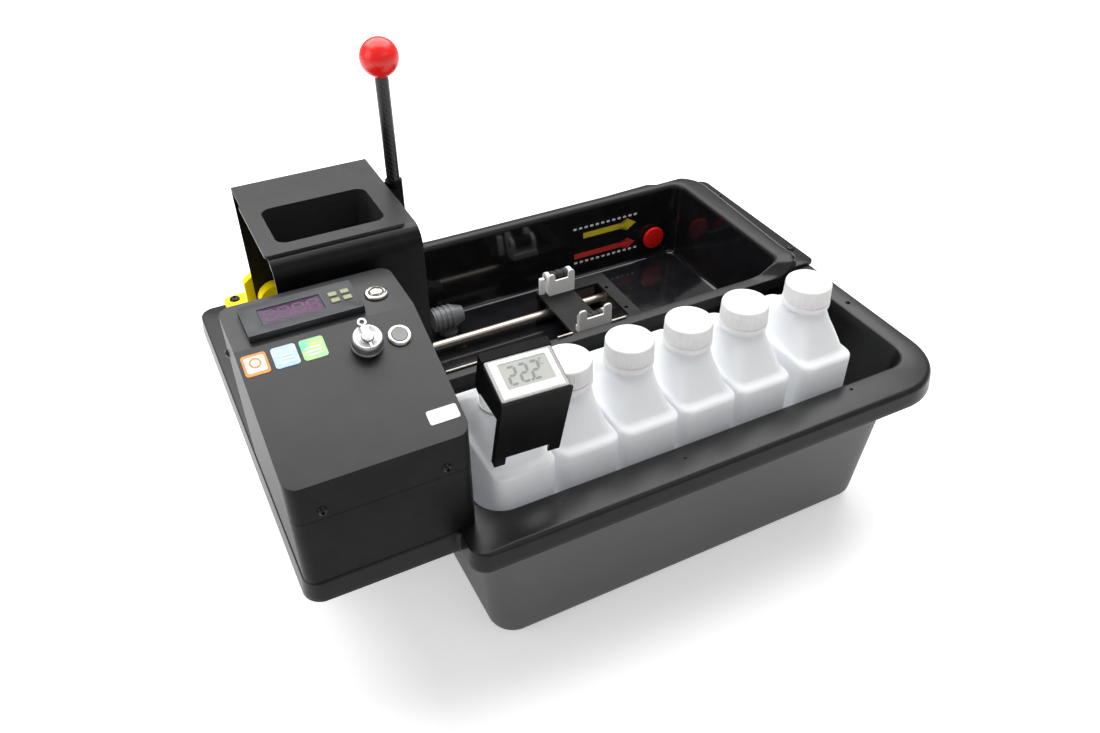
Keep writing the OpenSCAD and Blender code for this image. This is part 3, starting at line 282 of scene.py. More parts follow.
# patch, smear and grain are the scales of the noise in the colour, the gloss and the bump
looks = {
    "satinBlack": {"colour": (0.006, 0.006, 0.0065), "roughness": (0.29, 0.33), "smear": 300, "shine": 0.36,
        "bump": 0.12, "grain": 1800},
    "outerBlack": {"colour": (0.056, 0.054, 0.055), "second": (0.061, 0.059, 0.060), "patch": 20,
        "roughness": (0.44, 0.48), "smear": 300, "bump": 0.18, "grain": 1400},
    # the flange's black with less shine, on the skirt so that it stays dark: painted shade
    "skirtShadedBlack": {"colour": (0.006, 0.006, 0.0065), "roughness": (0.29, 0.33), "smear": 300, "shine": 0.16,
        "bump": 0.12, "grain": 1800},
    "rimBlack": {"colour": (0.006, 0.006, 0.0065), "roughness": (0.32, 0.37), "smear": 300, "shine": 0.31,
        "bump": 0.05, "grain": 900},
    "wetBlack": {"colour": (0.006, 0.006, 0.007), "roughness": (0.05, 0.11), "bump": 0.03, "grain": 500,
        "smear": 25},
    # the control box's paint, dim and with little shine so the sides and fronts stay dark: painted shade; the
    # next entry is its lighter, shinier copy for the panel's tops: painted sheen
    "boxPaint": {"colour": (0.004, 0.004, 0.004), "roughness": (0.38, 0.42), "smear": 300, "shine": 0.10,
        "bump": 0.22, "grain": 1100},
    "panelSheenPaint": {"colour": (0.013, 0.012, 0.0125), "roughness": (0.38, 0.42), "smear": 300, "shine": 0.42,
        "bump": 0.16, "grain": 1300},
    # the hood's paint, dim and with little shine so its fronts stay dark: painted shade
    "hoodPaint": {"colour": (0.004, 0.004, 0.004), "roughness": (0.30, 0.35), "smear": 300, "shine": 0.14,
        "bump": 0.25, "grain": 900},
    "funnelPrint": {"colour": (0.020, 0.0195, 0.0195), "roughness": (0.42, 0.50), "stretch": (1, 1, 8),
        "bump": 0.3, "grain": 300},
    # a lighter, shinier copy for the hood's and funnel's up-facing faces: painted sheen
    "hoodTop": {"colour": (0.008, 0.008, 0.008), "roughness": (0.38, 0.44), "smear": 300, "shine": 0.36,
        "bump": 0.25, "grain": 900},
    "matteBlack": {"colour": (0.013, 0.0125, 0.0125), "roughness": (0.38, 0.46), "shine": 0.12,
        "grain": 1200},
    "blackPlastic": {"colour": (0.0025, 0.0025, 0.0025), "roughness": (0.28, 0.34), "smear": 300,
        "shine": 0.06, "grain": 1600},
    "rubber": {"colour": (0.010, 0.010, 0.010), "roughness": (0.60, 0.75), "bump": 0.3, "grain": 1200},
    "screwBlack": {"colour": (0.012, 0.012, 0.012), "metal": 0.6, "roughness": (0.28, 0.38)},
    "brightSteel": {"colour": (0.60, 0.59, 0.57), "second": (0.70, 0.69, 0.66), "metal": 1.0,
        "roughness": (0.16, 0.26), "stretch": (0.2, 1, 1), "bump": 0.08, "grain": 900},
    "rodSteel": {"colour": (0.42, 0.37, 0.32), "second": (0.60, 0.54, 0.47), "metal": 0.85,
        "roughness": (0.28, 0.38), "stretch": (0.15, 1, 1), "grain": 900},
    "buttonSteel": {"colour": (0.40, 0.385, 0.35), "second": (0.52, 0.50, 0.45), "metal": 1.0,
        "roughness": (0.18, 0.28), "bump": 0.06},
    "knobSilver": {"colour": (0.36, 0.36, 0.36), "second": (0.46, 0.46, 0.455), "metal": 0.9,
        "roughness": (0.32, 0.42), "bump": 0.08, "grain": 2000},
    "yellowPlastic": {"colour": (0.88, 0.66, 0.001), "second": (0.94, 0.74, 0.002),
        "roughness": (0.34, 0.46), "shine": 0.2, "bump": 0.2, "stretch": (1, 1, 6), "grain": 500,
        "milk": 0.05, "milkDepth": 0.002},
    "redGloss": {"colour": (0.80, 0.010, 0.008), "second": (0.86, 0.014, 0.010), "roughness": (0.24, 0.30),
        "bump": 0.03, "grain": 300, "coat": 0.05, "coatRoughness": 0.15},
    # the glow is painted light: a slight emission that brightens the white parts beyond what the lamps give
    "whitePlastic": {"colour": (0.72, 0.72, 0.71), "second": (0.78, 0.78, 0.77), "roughness": (0.30, 0.42),
        "bump": 0.08, "glowColour": (1.0, 0.98, 0.95), "glow": 0.06, "milk": 0.2, "milkDepth": 0.002},
    # the glow is painted light: a slight emission that brightens the bottles beyond what the lamps give
    "bottleMilk": {"colour": (0.90, 0.915, 0.94), "second": (0.93, 0.94, 0.96), "patch": 25,
        "roughness": (0.30, 0.42), "bump": 0.18, "grain": 220, "depth": 0.0002,
        "glowColour": (0.93, 0.96, 1.0), "glow": 0.06, "milk": 0.8, "milkDepth": 0.012,
        "milkRadius": (1.0, 1.0, 1.0)},
    "capWhite": {"colour": (0.74, 0.74, 0.74), "second": (0.79, 0.79, 0.79), "roughness": (0.34, 0.46),
        "milk": 0.3, "milkDepth": 0.003},
    "nozzleGrey": {"colour": (0.115, 0.118, 0.124), "second": (0.155, 0.158, 0.165),
        "roughness": (0.32, 0.44)},
    "caseGrey": {"colour": (0.013, 0.015, 0.019), "second": (0.017, 0.019, 0.023), "shine": 0.4,
        "roughness": (0.34, 0.44), "bump": 0.15},
    "windowDark": {"colour": (0.034, 0.018, 0.038), "second": (0.040, 0.022, 0.044),
        "roughness": (0.24, 0.30), "shine": 0.25, "bump": 0.02},
    "digitDim": {"colour": (0.110, 0.030, 0.105), "second": (0.130, 0.038, 0.120),
        "roughness": (0.30, 0.40), "shine": 0.2},
    "keyOlive": {"colour": (0.23, 0.25, 0.14), "second": (0.29, 0.31, 0.18), "roughness": (0.40, 0.52),
        "bump": 0.15},
    "greyCap": {"colour": (0.13, 0.13, 0.13), "second": (0.17, 0.17, 0.17), "metal": 0.6,
        "roughness": (0.36, 0.46), "bump": 0.08},
    "lcdGreen": {"colour": (0.34, 0.355, 0.325), "second": (0.38, 0.395, 0.355), "shine": 0.25,
        "roughness": (0.10, 0.18), "bump": 0.02},
    "lcdInk": {"colour": (0.12, 0.125, 0.115), "roughness": (0.22, 0.30), "bump": 0.02},
    "brass": {"colour": (0.60, 0.42, 0.14), "second": (0.66, 0.48, 0.18), "metal": 1.0,
        "roughness": (0.22, 0.34)},
    "gearWhite": {"colour": (0.66, 0.65, 0.60), "second": (0.72, 0.71, 0.66), "roughness": (0.34, 0.46)},
    "motorGrey": {"colour": (0.20, 0.20, 0.20), "second": (0.28, 0.28, 0.28), "metal": 0.9,
        "roughness": (0.28, 0.42)},
    "inkWhite": {"colour": (0.72, 0.72, 0.72), "second": (0.80, 0.80, 0.80), "roughness": (0.35, 0.45),
        "bump": 0.05},
    "inkYellow": {"colour": (0.62, 0.48, 0.02), "second": (0.68, 0.54, 0.03), "roughness": (0.30, 0.42),
        "bump": 0.05},
    "inkRed": {"colour": (0.56, 0.03, 0.02), "second": (0.62, 0.04, 0.03), "roughness": (0.30, 0.42),
        "bump": 0.05},
    "inkOrange": {"colour": (0.72, 0.20, 0.012), "second": (0.80, 0.30, 0.03), "roughness": (0.28, 0.4),
        "bump": 0.05},
    "inkBlue": {"colour": (0.30, 0.52, 0.76), "second": (0.66, 0.76, 0.84), "patch": 90,
        "roughness": (0.28, 0.4), "bump": 0.05},
    "inkGreen": {"colour": (0.07, 0.62, 0.42), "second": (0.70, 0.74, 0.10), "patch": 70,
        "roughness": (0.28, 0.4)},
    "stripGrey": {"colour": (0.30, 0.28, 0.25), "second": (0.55, 0.52, 0.48), "metal": 0.9,
        "roughness": (0.20, 0.32)},
    "moduleGrey": {"colour": (0.16, 0.155, 0.15), "second": (0.24, 0.235, 0.23), "metal": 0.5,
        "roughness": (0.22, 0.34)},
}
paint = {name: finish(name, look) for name, look in looks.items()}


def carbonTwill(name):
    # on the sleeve's own map, with u round it and v along it, two of each four steps along u + v are lighter
    m = finish(name, {"colour": (0.012, 0.012, 0.012), "roughness": (0.16, 0.24), "coat": 0.15,
                      "coatRoughness": 0.2, "shine": 0.3})
    stepsRound, stepsAlong = 24.0, 120.0
    nodes, links = m.node_tree.nodes, m.node_tree.links
    where = nodes.new("ShaderNodeUVMap")
    where.uv_map = "strands"
    split = nodes.new("ShaderNodeSeparateXYZ")
    links.new(where.outputs["UV"], split.inputs["Vector"])

    def maths(kind, a, b=0.0):
        n = nodes.new("ShaderNodeMath")
        n.operation = kind
        for k, v in enumerate((a, b)):
            if isinstance(v, (int, float)):
                n.inputs[k].default_value = v
            else:
                links.new(v, n.inputs[k])
        return n.outputs[0]

    u = maths("FLOOR", maths("MULTIPLY", split.outputs["X"], stepsRound))
    v = maths("FLOOR", maths("MULTIPLY", split.outputs["Y"], stepsAlong))
    strand = maths("LESS_THAN", maths("MODULO", maths("ADD", u, v), 4.0), 1.9)
    ramp = nodes.new("ShaderNodeValToRGB")
    for k, grey in enumerate((0.006, 0.022)):
        ramp.color_ramp.elements[k].color = (grey, grey, grey, 1)
    links.new(strand, ramp.inputs["Fac"])
    shader = nodes["Principled BSDF"]
    links.new(ramp.outputs["Color"], shader.inputs["Base Color"])
    return m


paint["carbon"] = carbonTwill("carbon")
print("materials made", len(paint))


# pieces
def smoothObject(name, mesh, sharp):
    # an object with smooth faces, and with the edges that bend by more than sharp kept sharp
    mesh.polygons.foreach_set("use_smooth", np.ones(len(mesh.polygons), bool))
    mesh.set_sharp_from_angle(angle=math.radians(sharp))
    piece = bpy.data.objects.new(name, mesh)
    bpy.context.scene.collection.objects.link(piece)
    return piece


def finishPiece(name, shape, body, material, stands=(), sharp=38.0, faceMaterials=None, uv=None):
    # a new piece; material is one name or a list of them, and stands lists the nodes that it replaces
    weld, sliver = 1.5e-6, 1e-7  # metres
    points, faces = shape
    mesh = bpy.data.meshes.new(name)
    mesh.from_pydata(inFrame(points).tolist(), [], [list(f) for f in faces])
    if uv is not None:
        layer = mesh.uv_layers.new(name="strands")
        layer.data.foreach_set("uv", np.asarray(uv, np.float32).ravel())
    for m in [material] if isinstance(material, str) else material:
        mesh.materials.append(paint[m])
    if faceMaterials is not None:
        mesh.polygons.foreach_set("material_index", np.asarray(faceMaterials, np.int32))
    bm = bmesh.new()
    bm.from_mesh(mesh)
    bmesh.ops.remove_doubles(bm, verts=bm.verts, dist=weld)
    bmesh.ops.dissolve_degenerate(bm, edges=bm.edges, dist=sliver)
    bmesh.ops.recalc_face_normals(bm, faces=bm.faces)
    bm.to_mesh(mesh)
    bm.free()
    piece = smoothObject(name, mesh, sharp)
    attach(piece, body)
    if stands:
        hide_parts(*stands)
    return piece


def dressed(node, material, bevel=0.4, segments=2, limit=28.0):
    # a merged copy of the node with its flat faces joined and its edges rounded
    weld, flat, sharp = 2e-6, 0.6, 40  # metres and two angles
    source = frame["nodes"][node]
    name = node.replace("_", " ").title().replace(" ", "")
    name = name[0].lower() + name[1:]
    mesh = source.data.copy()
    mesh.name = name
    mesh.materials.clear()
    mesh.materials.append(paint[material])
    bm = bmesh.new()
    bm.from_mesh(mesh)
    bmesh.ops.remove_doubles(bm, verts=bm.verts, dist=weld)
    bmesh.ops.dissolve_limit(bm, angle_limit=math.radians(flat), verts=bm.verts, edges=bm.edges)
    bm.to_mesh(mesh)
    bm.free()
    mesh.polygons.foreach_set("material_index", np.zeros(len(mesh.polygons), np.int32))
    piece = smoothObject(name, mesh, sharp)
    if bevel:
        edge = piece.modifiers.new("edge", "BEVEL")
        edge.width = bevel / 1000
        edge.segments = segments
        edge.limit_method = "ANGLE"
        edge.angle_limit = math.radians(limit)
        edge.harden_normals = True
        edge.use_clamp_overlap = True
    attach(piece, source["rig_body"])
    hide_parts(node)
    return piece


# the lower tub: one sheet from the basin's floor over the flange and down to the outer skin
tub = {"centre": (312, 190), "lip": 1.5, "rim": 4.5, "skirt": 16, "flare": 1.6, "sheet": 3, "wall": 134,
       "corner": 7, "holes": [(176.6, 21.4, 1.5), (275.8, 17.9, 1.5), (435, 23.4, 1.5), (513, 117.7, 2.2)]}
flangeEdge = [(526, 0, 50), (526, 366, 14), (141, 366, 1.2), (141, 369, 1.2), (0, 369, 12), (0, 27, 12),
              (104, 27, 4), (104, 0, 12)]


def basinLoop(depth, g):
    # the wall drawn in by its draft at this depth and grown by g
    t = min(depth / tub["wall"], 1)
    return boxLoop(124.5 + 8.5 * t, 31.3 + 3 * t, 504.5 - 23 * t, 358 - 6 * t, 22 - 4 * t, g)


def buildTub():
    c = np.array(tub["centre"])
    wall, corner, sheet, skirt = tub["wall"], tub["corner"], tub["sheet"], tub["skirt"]
    lip, rim, flare = tub["lip"], tub["rim"], tub["flare"]
    turns = rayAngles(c, [roundedLoop(flangeEdge), basinLoop(0, 0)], 2.5)
    edge = rayLoop(roundedLoop(flangeEdge), c, turns)
    onDeck = np.clip((122 - edge[:, 0]) / 14, 0, 1)[:, None]  # 1 along the deck, 0 along the basin
    floorLoop = rayLoop(basinLoop(wall, -corner), c, turns)

    def flange(tight, loose):
        # the deck's edge is tighter than the rim's
        a, b = (rayLoop(roundedLoop(flangeEdge, g), c, turns) for g in (tight, loose))
        return a * onDeck + b * (1 - onDeck)

    def basinRow(depth, g, z):
        return ringAt(rayLoop(basinLoop(depth, g), c, turns), z)

    rows = [ringAt(c + (floorLoop - c) * k, -wall - corner) for k in (0.25, 0.6)]
    for cosA, sinA in arcSteps(6):
        rows.append(basinRow(wall, -6 * (1 - sinA), -wall - corner * cosA))
    for depth in (110, 80, 50, 25, 10, 4):
        rows.append(basinRow(depth, 0, -depth))
    for cosA, sinA in arcSteps(5):
        rows.append(basinRow(0, 3 * (1 - cosA), -3 * (1 - sinA)))
    # from here the skirt takes the less shiny copy of the flange's black, as painted shade
    shadedSkirtFrom = len(rows) + 4  # the skirt's look starts halfway round the flange's edge
    for cosA, sinA in arcSteps(7):
        z = -(lip * onDeck[:, 0] + rim * (1 - onDeck[:, 0])) * (1 - cosA)
        rows.append(ringAt(flange(-lip * (1 - sinA), -rim * (1 - sinA)), z))
    for z in (-8, -12, -15.2):
        rows.append(ringAt(flange(flare * (-z - lip) / (skirt - lip), flare * (-z - rim) / (skirt - rim)), z))
    for g, z in ((1.3, -skirt), (-1.2, -skirt), (-1.8, 1 - skirt), (-3, -3.2)):
        rows.append(ringAt(flange(g, g), z))
    outsideFrom = len(rows) - 1
    for depth in (3.2, 30, 60, 90, 120):
        rows.append(basinRow(depth, sheet, -depth))
    below, turnUp = -wall - corner - sheet, 9
    for cosA, sinA in arcSteps(6):
        rows.append(basinRow(wall, sheet - turnUp * (1 - cosA), below + turnUp - turnUp * sinA))
    rows += [ringAt(c + (floorLoop - c) * k, below) for k in (0.6, 0.25)]
    row = np.arange(len(rows) - 1)
    look = faceLooks(np.where(row >= outsideFrom, 1, np.where(row >= shadedSkirtFrom, 2, 0)), len(turns))
    return finishPiece("tubShell", loft(rows), "chassis", ["satinBlack", "outerBlack", "skirtShadedBlack"],
                       ["outer_tub"], 40, look)


def cutHoles(piece, holes):
    # each (x, y, z, radius, height) is taken out of the finished mesh
    bits = [moved(lathe([(r, 0), (r, h)], 20), spot(x, y, z)) for x, y, z, r, h in holes]
    p, f = joined(*bits)
    mesh = bpy.data.meshes.new("cutter")
    mesh.from_pydata(inFrame(p).tolist(), [], f)
    bm = bmesh.new()
    bm.from_mesh(mesh)
    bmesh.ops.recalc_face_normals(bm, faces=bm.faces)
    bm.to_mesh(mesh)
    bm.free()
    cutter = bpy.data.objects.new("cutter", mesh)
    bpy.context.scene.collection.objects.link(cutter)
    cut = piece.modifiers.new("cut", "BOOLEAN")
    cut.object = cutter
    cut.operation = "DIFFERENCE"
    cut.solver = "EXACT"
    bpy.context.view_layer.update()
    shown = piece.evaluated_get(bpy.context.evaluated_depsgraph_get())
    result = bpy.data.meshes.new_from_object(shown)
    piece.modifiers.clear()
    old = piece.data
    result.name = old.name
    piece.data = result
    bpy.data.meshes.remove(old)
    bpy.data.objects.remove(cutter)
    bpy.data.meshes.remove(mesh)
    return piece


tubPiece = cutHoles(buildTub(), [(x, y, -4, r, 6) for x, y, r in tub["holes"]])
print("tub built", len(tubPiece.data.polygons))

# the bath tray: a glossy pan with a raised rim at its back and right
tray = {"centre": (312, 271), "rim": 15, "sheet": 3, "floor": 56, "corner": 6, "inner": 5.0, "outer": 11.0}
rimOuter = [(124, 175.4, 5), (502, 175.4, 7), (510, 190, 12), (517, 371, 30), (124, 371, 5)]
trayEdge = [(114.5, 175, 4), (501, 175, 4), (505, 183, 3), (529, 183, 6), (529, 366, 10), (474, 366, 3),
            (464, 371, 3), (142, 371, 4), (134, 366, 3), (114.5, 366, 4)]
rimEnd = {"x": [464.5, 467, 473, 480, 487], "z": [3, 5.4, 10.2, 13.6, 15]}  # how the rim's front end rises


def bathLoop(z, g):
    # the bath's wall is drawn in by about 5 mm at the floor, and its corners tighten
    t = np.clip((tray["rim"] - z) / (tray["rim"] + tray["floor"]), 0, 1)
    return boxLoop(136.5 + 5 * t, 186.2 + 4.8 * t, 488 - 5 * t, 353 - 5 * t, 12 - 2 * t, g, 9)


def buildTray():
    c = np.array(tray["centre"])
    rim, sheet, floorTop, corner = tray["rim"], tray["sheet"], -tray["floor"], tray["corner"]
    turns = rayAngles(c, [roundedLoop(trayEdge), roundedLoop(rimOuter), bathLoop(rim, 0)], 1.5)

    def bathRow(at, g, z):
        return ringAt(rayLoop(bathLoop(at, g), c, turns), z)

    def edgeRow(g, z):
        return ringAt(rayLoop(roundedLoop(trayEdge, g), c, turns), z)

    # the rim's height at each point of the bath's edge: low along the front ridge and high round the rest
    inner = rayLoop(bathLoop(rim, 0), c, turns)
    s = np.clip((inner[:, 0] - 138) / 14, 0, 1)
    back = sheet + (rim - sheet) * s * s * (3 - 2 * s)
    h = np.where(inner[:, 1] < c[1], np.interp(inner[:, 0], rimEnd["x"], rimEnd["z"]), back)
    raised = (h - sheet) / (rim - sheet)

    # the tray's edge turns down at the front and the back
    edge = rayLoop(roundedLoop(trayEdge), c, turns)
    atFront = (edge[:, 1] < 181) & (edge[:, 0] < 505)
    low = np.where(atFront, -8.0, np.where(edge[:, 1] > 368.5, -13.0, 0.1))
    ledge = sheet - 10 * raised * atFront

    # the bath's floor and wall, and the rounded edge at the wall's top
    floorLoop = rayLoop(bathLoop(floorTop, -corner), c, turns)
    rows = [ringAt(c + (floorLoop - c) * k, floorTop - corner) for k in (0.3, 0.7)]
    for cosA, sinA in arcSteps(6):
        rows.append(bathRow(floorTop, -5 * (1 - sinA), floorTop - corner * cosA))
    wetRows = len(rows) + 4
    for z in (-40, -25, -10):
        rows.append(bathRow(z, 0, z))
    f = 1.6 + (tray["inner"] - 1.6) * raised
    rows.append(ringAt(inner, h - f - 0.5))
    flat = rayLoop(bathLoop(rim, 4), c, turns)
    for cosA, sinA in arcSteps(6):
        rows.append(ringAt(inner + (flat - inner) * ((f / 4) * (1 - cosA))[:, None], h - f * (1 - sinA)))

    # the rim's outer round, kept off the bath and half a millimetre inside the tray's edge
    least = np.linalg.norm(rows[-1][:, :2] - c, axis=1) + 0.2
    ray = rayLoop(roundedLoop(rimOuter), c, turns) - c
    away = np.linalg.norm(ray, axis=1)
    line = c + ray * (np.minimum(away, np.linalg.norm(edge - c, axis=1) - 0.5) / away)[:, None]
    ray = line - c
    reach = np.linalg.norm(ray, axis=1)
    tight = tray["outer"] * (0.35 + 0.65 * np.clip((line[:, 1] - 177) / 26, 0, 1))  # tighter at the front end
    slant = np.abs(ray) / reach[:, None]
    width = np.minimum(tight / np.where(line[:, 1] < 177, slant[:, 1], slant.max(1)), reach - least)
    for cosA, sinA in arcSteps(7):
        shrunk = (reach - width * (1 - sinA)) / reach
        rows.append(ringAt(c + ray * shrunk[:, None], h - np.minimum(tight, h - sheet) * (1 - cosA)))
    rows.append(ringAt(line, ledge))

    # over the tray's edge, down its lip, and back underneath to the bath's outside
    for cosA, sinA in arcSteps(4):
        rows.append(edgeRow(-0.4 * (1 - sinA), ledge - 1.2 * (1 - cosA)))
    rows.append(ringAt(edge, low))
    rows.append(edgeRow(-2.4, low))
    rows.append(edgeRow(-2.6, 0.1))
    for z in (0.1, -20, -40, -57):
        rows.append(bathRow(z, sheet, z))
    rows.append(bathRow(floorTop, -4, floorTop - corner - sheet))
    look = faceLooks(np.arange(len(rows) - 1) >= wetRows, len(turns))
    return finishPiece("bathPan", loft(rows), "chassis", ["wetBlack", "rimBlack"], ["bath_tray"], 42,
                       look)


trayPiece = buildTray()
print("tray built", len(trayPiece.data.polygons))

# bottles: drawn-in base, ledge, steep shoulder and round neck, as one thin wall
bottle = {"width": 48, "depth": 100, "height": 163, "shoulder": 193, "neck": 15.5, "neckY": 40, "wall": 1.6,
          "front": 37.5, "floor": -141, "ledge": 9, "left": [136, 186.5, 237, 287.5, 338, 398]}


def bottleRings(turns, c, g):
    # outer rings from the floor's middle to the neck's lip, all drawn in by g
    w, d, h, top = bottle["width"], bottle["depth"], bottle["height"], bottle["shoulder"]
    side, end = 4.0, bottle["ledge"]

    def plan(sx, sy, r, z):
        loop = boxLoop(sx + g, sy + g, w - sx - g, d - sy - g, max(r - g * 0.5, 0.5))
        return ringAt(rayLoop(loop, c, turns), z)

    def tube(r, z):
        a = np.linspace(0, 2 * math.pi, 96, endpoint=False)
        circle = np.column_stack([w / 2 + r * np.cos(a), bottle["neckY"] + r * np.sin(a)])
        return ringAt(rayLoop(circle, c, turns), z)

    rows = [plan(12, 24, 4, g + 1.2), plan(6.5, 6.5, 4, g + 0.6), plan(5.4, 5.4, 4.6, g)]
    for cosA, sinA in arcSteps(5):
        rows.append(plan(4.6 * (1 - sinA), 4.6 * (1 - sinA), 9 - 3 * (1 - sinA), g + 5.2 * (1 - cosA)))
    for z in (20, 45):
        rows.append(plan(0, 0, 9, z))
    rows.append(plan(0, 0, 9, h - 3.4 - g))
    for cosA, sinA in arcSteps(5):
        t = 1 - cosA
        rows.append(plan(2.6 * t, 3.4 * t, 9 - 1.5 * t, h - 3.4 + 3.2 * sinA - g * 0.8))
    rows.append(plan(3.5, end - 1.6, 7, h + 0.9 - g * 0.8))
    rows.append(plan(side, end - 0.2, 6.5, h + 1.9 - g * 0.8))
    foot = plan(side + 0.7, end + 0.8, 6, h + 3.8 - g * 0.8)
    rows.append(foot)
    shoulderEnd = tube(bottle["neck"] + 2.2 - g * 0.7, top - 3.2 - g * 0.6)
    for t in (0.25, 0.5, 0.75, 0.9):
        mix = foot * (1 - t) + shoulderEnd * t
        mix[:, 2] += 1.1 * math.sin(math.pi * t)
        rows.append(mix)
    rows.append(shoulderEnd)
    rows.append(tube(bottle["neck"] + 0.7 - g * 0.8, top - 0.9 - g * 0.3))
    rows.append(tube(bottle["neck"] - g, top + 0.9))
    return rows, tube


def buildBottle(k):
    c = (bottle["width"] / 2, 42.0)
    turns = rayAngles(c, [boxLoop(0, 0, 48, 100, 9), boxLoop(4, 9, 44, 91, 6)], 5)
    outer, tube = bottleRings(turns, c, 0.0)
    inner, innerTube = bottleRings(turns, c, bottle["wall"])
    neck = bottle["neck"]
    levels = (196.1, 196.4, 197.6, 199.5, 199.8, 201.0, 202.9, 203.2, 204.4, 204.7, 211.9)
    rows = outer + [tube(neck, z) for z in levels]
    rows += [tube(15.2, 212.3), tube(14.2, 212.3), innerTube(13.9, 211.9)] + inner[::-1]
    shape = moved(loft(rows), spot(bottle["left"][k], bottle["front"], bottle["floor"]))
    node = "bottle_%d" % (k + 1)
    return finishPiece("bottle%d" % (k + 1), shape, node, "bottleMilk", [node], 50)


for k in range(6):
    buildBottle(k)

# caps: closed above, open below, with fine ribs round the side
cap = {"radius": 18.5, "ribs": 60, "depth": 0.45, "lift": 2.6}


def buildCap(k):
    r, ribs = cap["radius"], cap["ribs"]
    inside = [(0, 16.9), (15.9, 16.9)]
    hem = [(15.9, 0.0), (r - 0.5, 0.0), (r, 0.4), (r, 3.6), (r - 0.25, 3.9), (r - 0.9, 4.1), (r - 0.9, 4.6),
           (r - 0.35, 4.9)]
    side = [(r - 0.35, 5.4), (r - 0.42, 8.5), (r - 0.52, 12.5), (r - 0.62, 16.6)]
    top = [(r - 0.75, 17.4)] + [(r - 2.25 + 1.5 * c, 17.5 + 1.5 * s) for c, s in arcSteps(5, 10, 90)]
    top += [(r - 4.2, 19.0), (r - 4.6, 18.85), (8, 18.85), (0, 18.85)]
    deep = np.repeat([0, cap["depth"], 0], [len(inside + hem), len(side), len(top)])
    shape = lathe(inside + hem + side + top, ribs * 4,
                  wobble=lambda a, i: -deep[i] * (0.5 + 0.5 * np.cos(ribs * a)) ** 2)
    place = spot(bottle["left"][k] + bottle["width"] / 2, bottle["front"] + bottle["neckY"],
                 bottle["floor"] + bottle["shoulder"] + cap["lift"])
    node = "cap_%d" % (k + 1)
    name = "bottleCap%d" % (k + 1)
    return finishPiece(name, moved(shape, place), node, "capWhite", [node], 42)


for k in range(1, 6):
    buildCap(k)
print("bottles built")

# control box: dressed base and cover, with a lighter, shinier copy of the paint on the panel's up-facing
# faces as painted sheen
box = {"y": 28.0, "depth": 145.0, "front": 83.0, "back": 122.0, "flat": 52.0}
slope = math.degrees(math.atan((box["back"] - box["front"]) / (box["depth"] - box["flat"])))


def onSlope(x, s):
    # on the panel's slope, s up it from its lower edge
    return spot(x, box["y"], box["front"], [("X", slope)]) @ spot(0, s)


dressed("box_base", "boxPaint", 0.5)
coverPiece = dressed("box_cover", "boxPaint", 1.1, 3, 17)


def paintSheenTops(piece, material, tilt=0.8):
    # the faces that look up take a lighter, shinier copy of the paint: painted sheen from the overhead light
    piece.data.materials.append(paint[material])
    normals = np.zeros(len(piece.data.polygons) * 3, np.float32)
    piece.data.polygons.foreach_get("normal", normals)
    up = normals.reshape(-1, 3)[:, 2] > tilt
    piece.data.polygons.foreach_set("material_index", up.astype(np.int32))


# painted sheen: the panel's up-facing faces take the lighter, shinier paint
paintSheenTops(coverPiece, "panelSheenPaint")

# thermostat: case, keys, dark window and dim figures
dressed("thermostat_case", "caseGrey", 0.5, 3)
key = {"width": 5.8, "depth": 4.9, "height": 1.75}
keyPad = softBox(-key["width"] / 2, -key["depth"] / 2, 0, key["width"], key["depth"], key["height"], 0.9, 0.5)
for k in range(4):
    node = "key_%d" % (k + 1)
    low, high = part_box(node)
    at = (np.array(low + high) / 2 - deckCorner) * 1000
    z = high.z * 1000 - deckCorner[2] * 1000 - key["height"]
    name = "keyPad%d" % (k + 1)
    finishPiece(name, moved(keyPad, spot(at[0], at[1], z)), node, "keyOlive", [node])


def segmentBars(text, height, width, thick, gap, lift):
    # seven bars for each figure, on a plane with x across and y up; a dot is a small square
    bars = {"2": "abged", "8": "abcdefg", "C": "adef"}
    half, t = height / 2, thick / 2
    inset = thick * 0.65
    levels = {"a": height, "g": half, "d": 0}
    uprights = {"f": (0, half), "b": (width, half), "e": (0, 0), "c": (width, 0)}
    shapes, x = [], 0.0
    for letter in text:
        if letter == ".":
            middle = x - gap * 0.5
            shapes.append(panelPlate(boxLoop(middle - t, -t, middle + t, t, 0.1), 0, lift))
            continue
        for b in bars[letter]:
            if b in levels:
                x0, x1, y0 = x + inset, x + width - inset, levels[b]
                loop = [(x0 - t, y0), (x0, y0 - t), (x1, y0 - t), (x1 + t, y0), (x1, y0 + t), (x0, y0 + t)]
            else:
                x0 = x + uprights[b][0]
                y0, y1 = uprights[b][1] + inset, uprights[b][1] + half - inset
                loop = [(x0, y0 - t), (x0 + t, y0), (x0 + t, y1), (x0, y1 + t), (x0 - t, y1), (x0 - t, y0)]
            shapes.append(panelPlate(np.array(loop), 0, lift))
        x += width + gap
    return joined(*shapes)


w = {"x": 23.3, "y": 134.5, "z": 126.0, "width": 41.0, "depth": 18.5}  # the thermostat's window
glass = softBox(w["x"] + 0.1, w["y"] + 0.1, w["z"], w["width"] - 0.2, w["depth"] - 0.2, 0.7, 1.0, 0.25)
finishPiece("displayGlass", glass, "chassis", "windowDark", ["display_window"])
figures = segmentBars("8888", 12.0, 6.4, 1.6, 3.0, 0.08)
onGlass = spot(w["x"] + 3.6, w["y"] + 3.0, w["z"] + 0.69)
finishPiece("displayFigures", moved(figures, onGlass), "chassis", "digitDim")

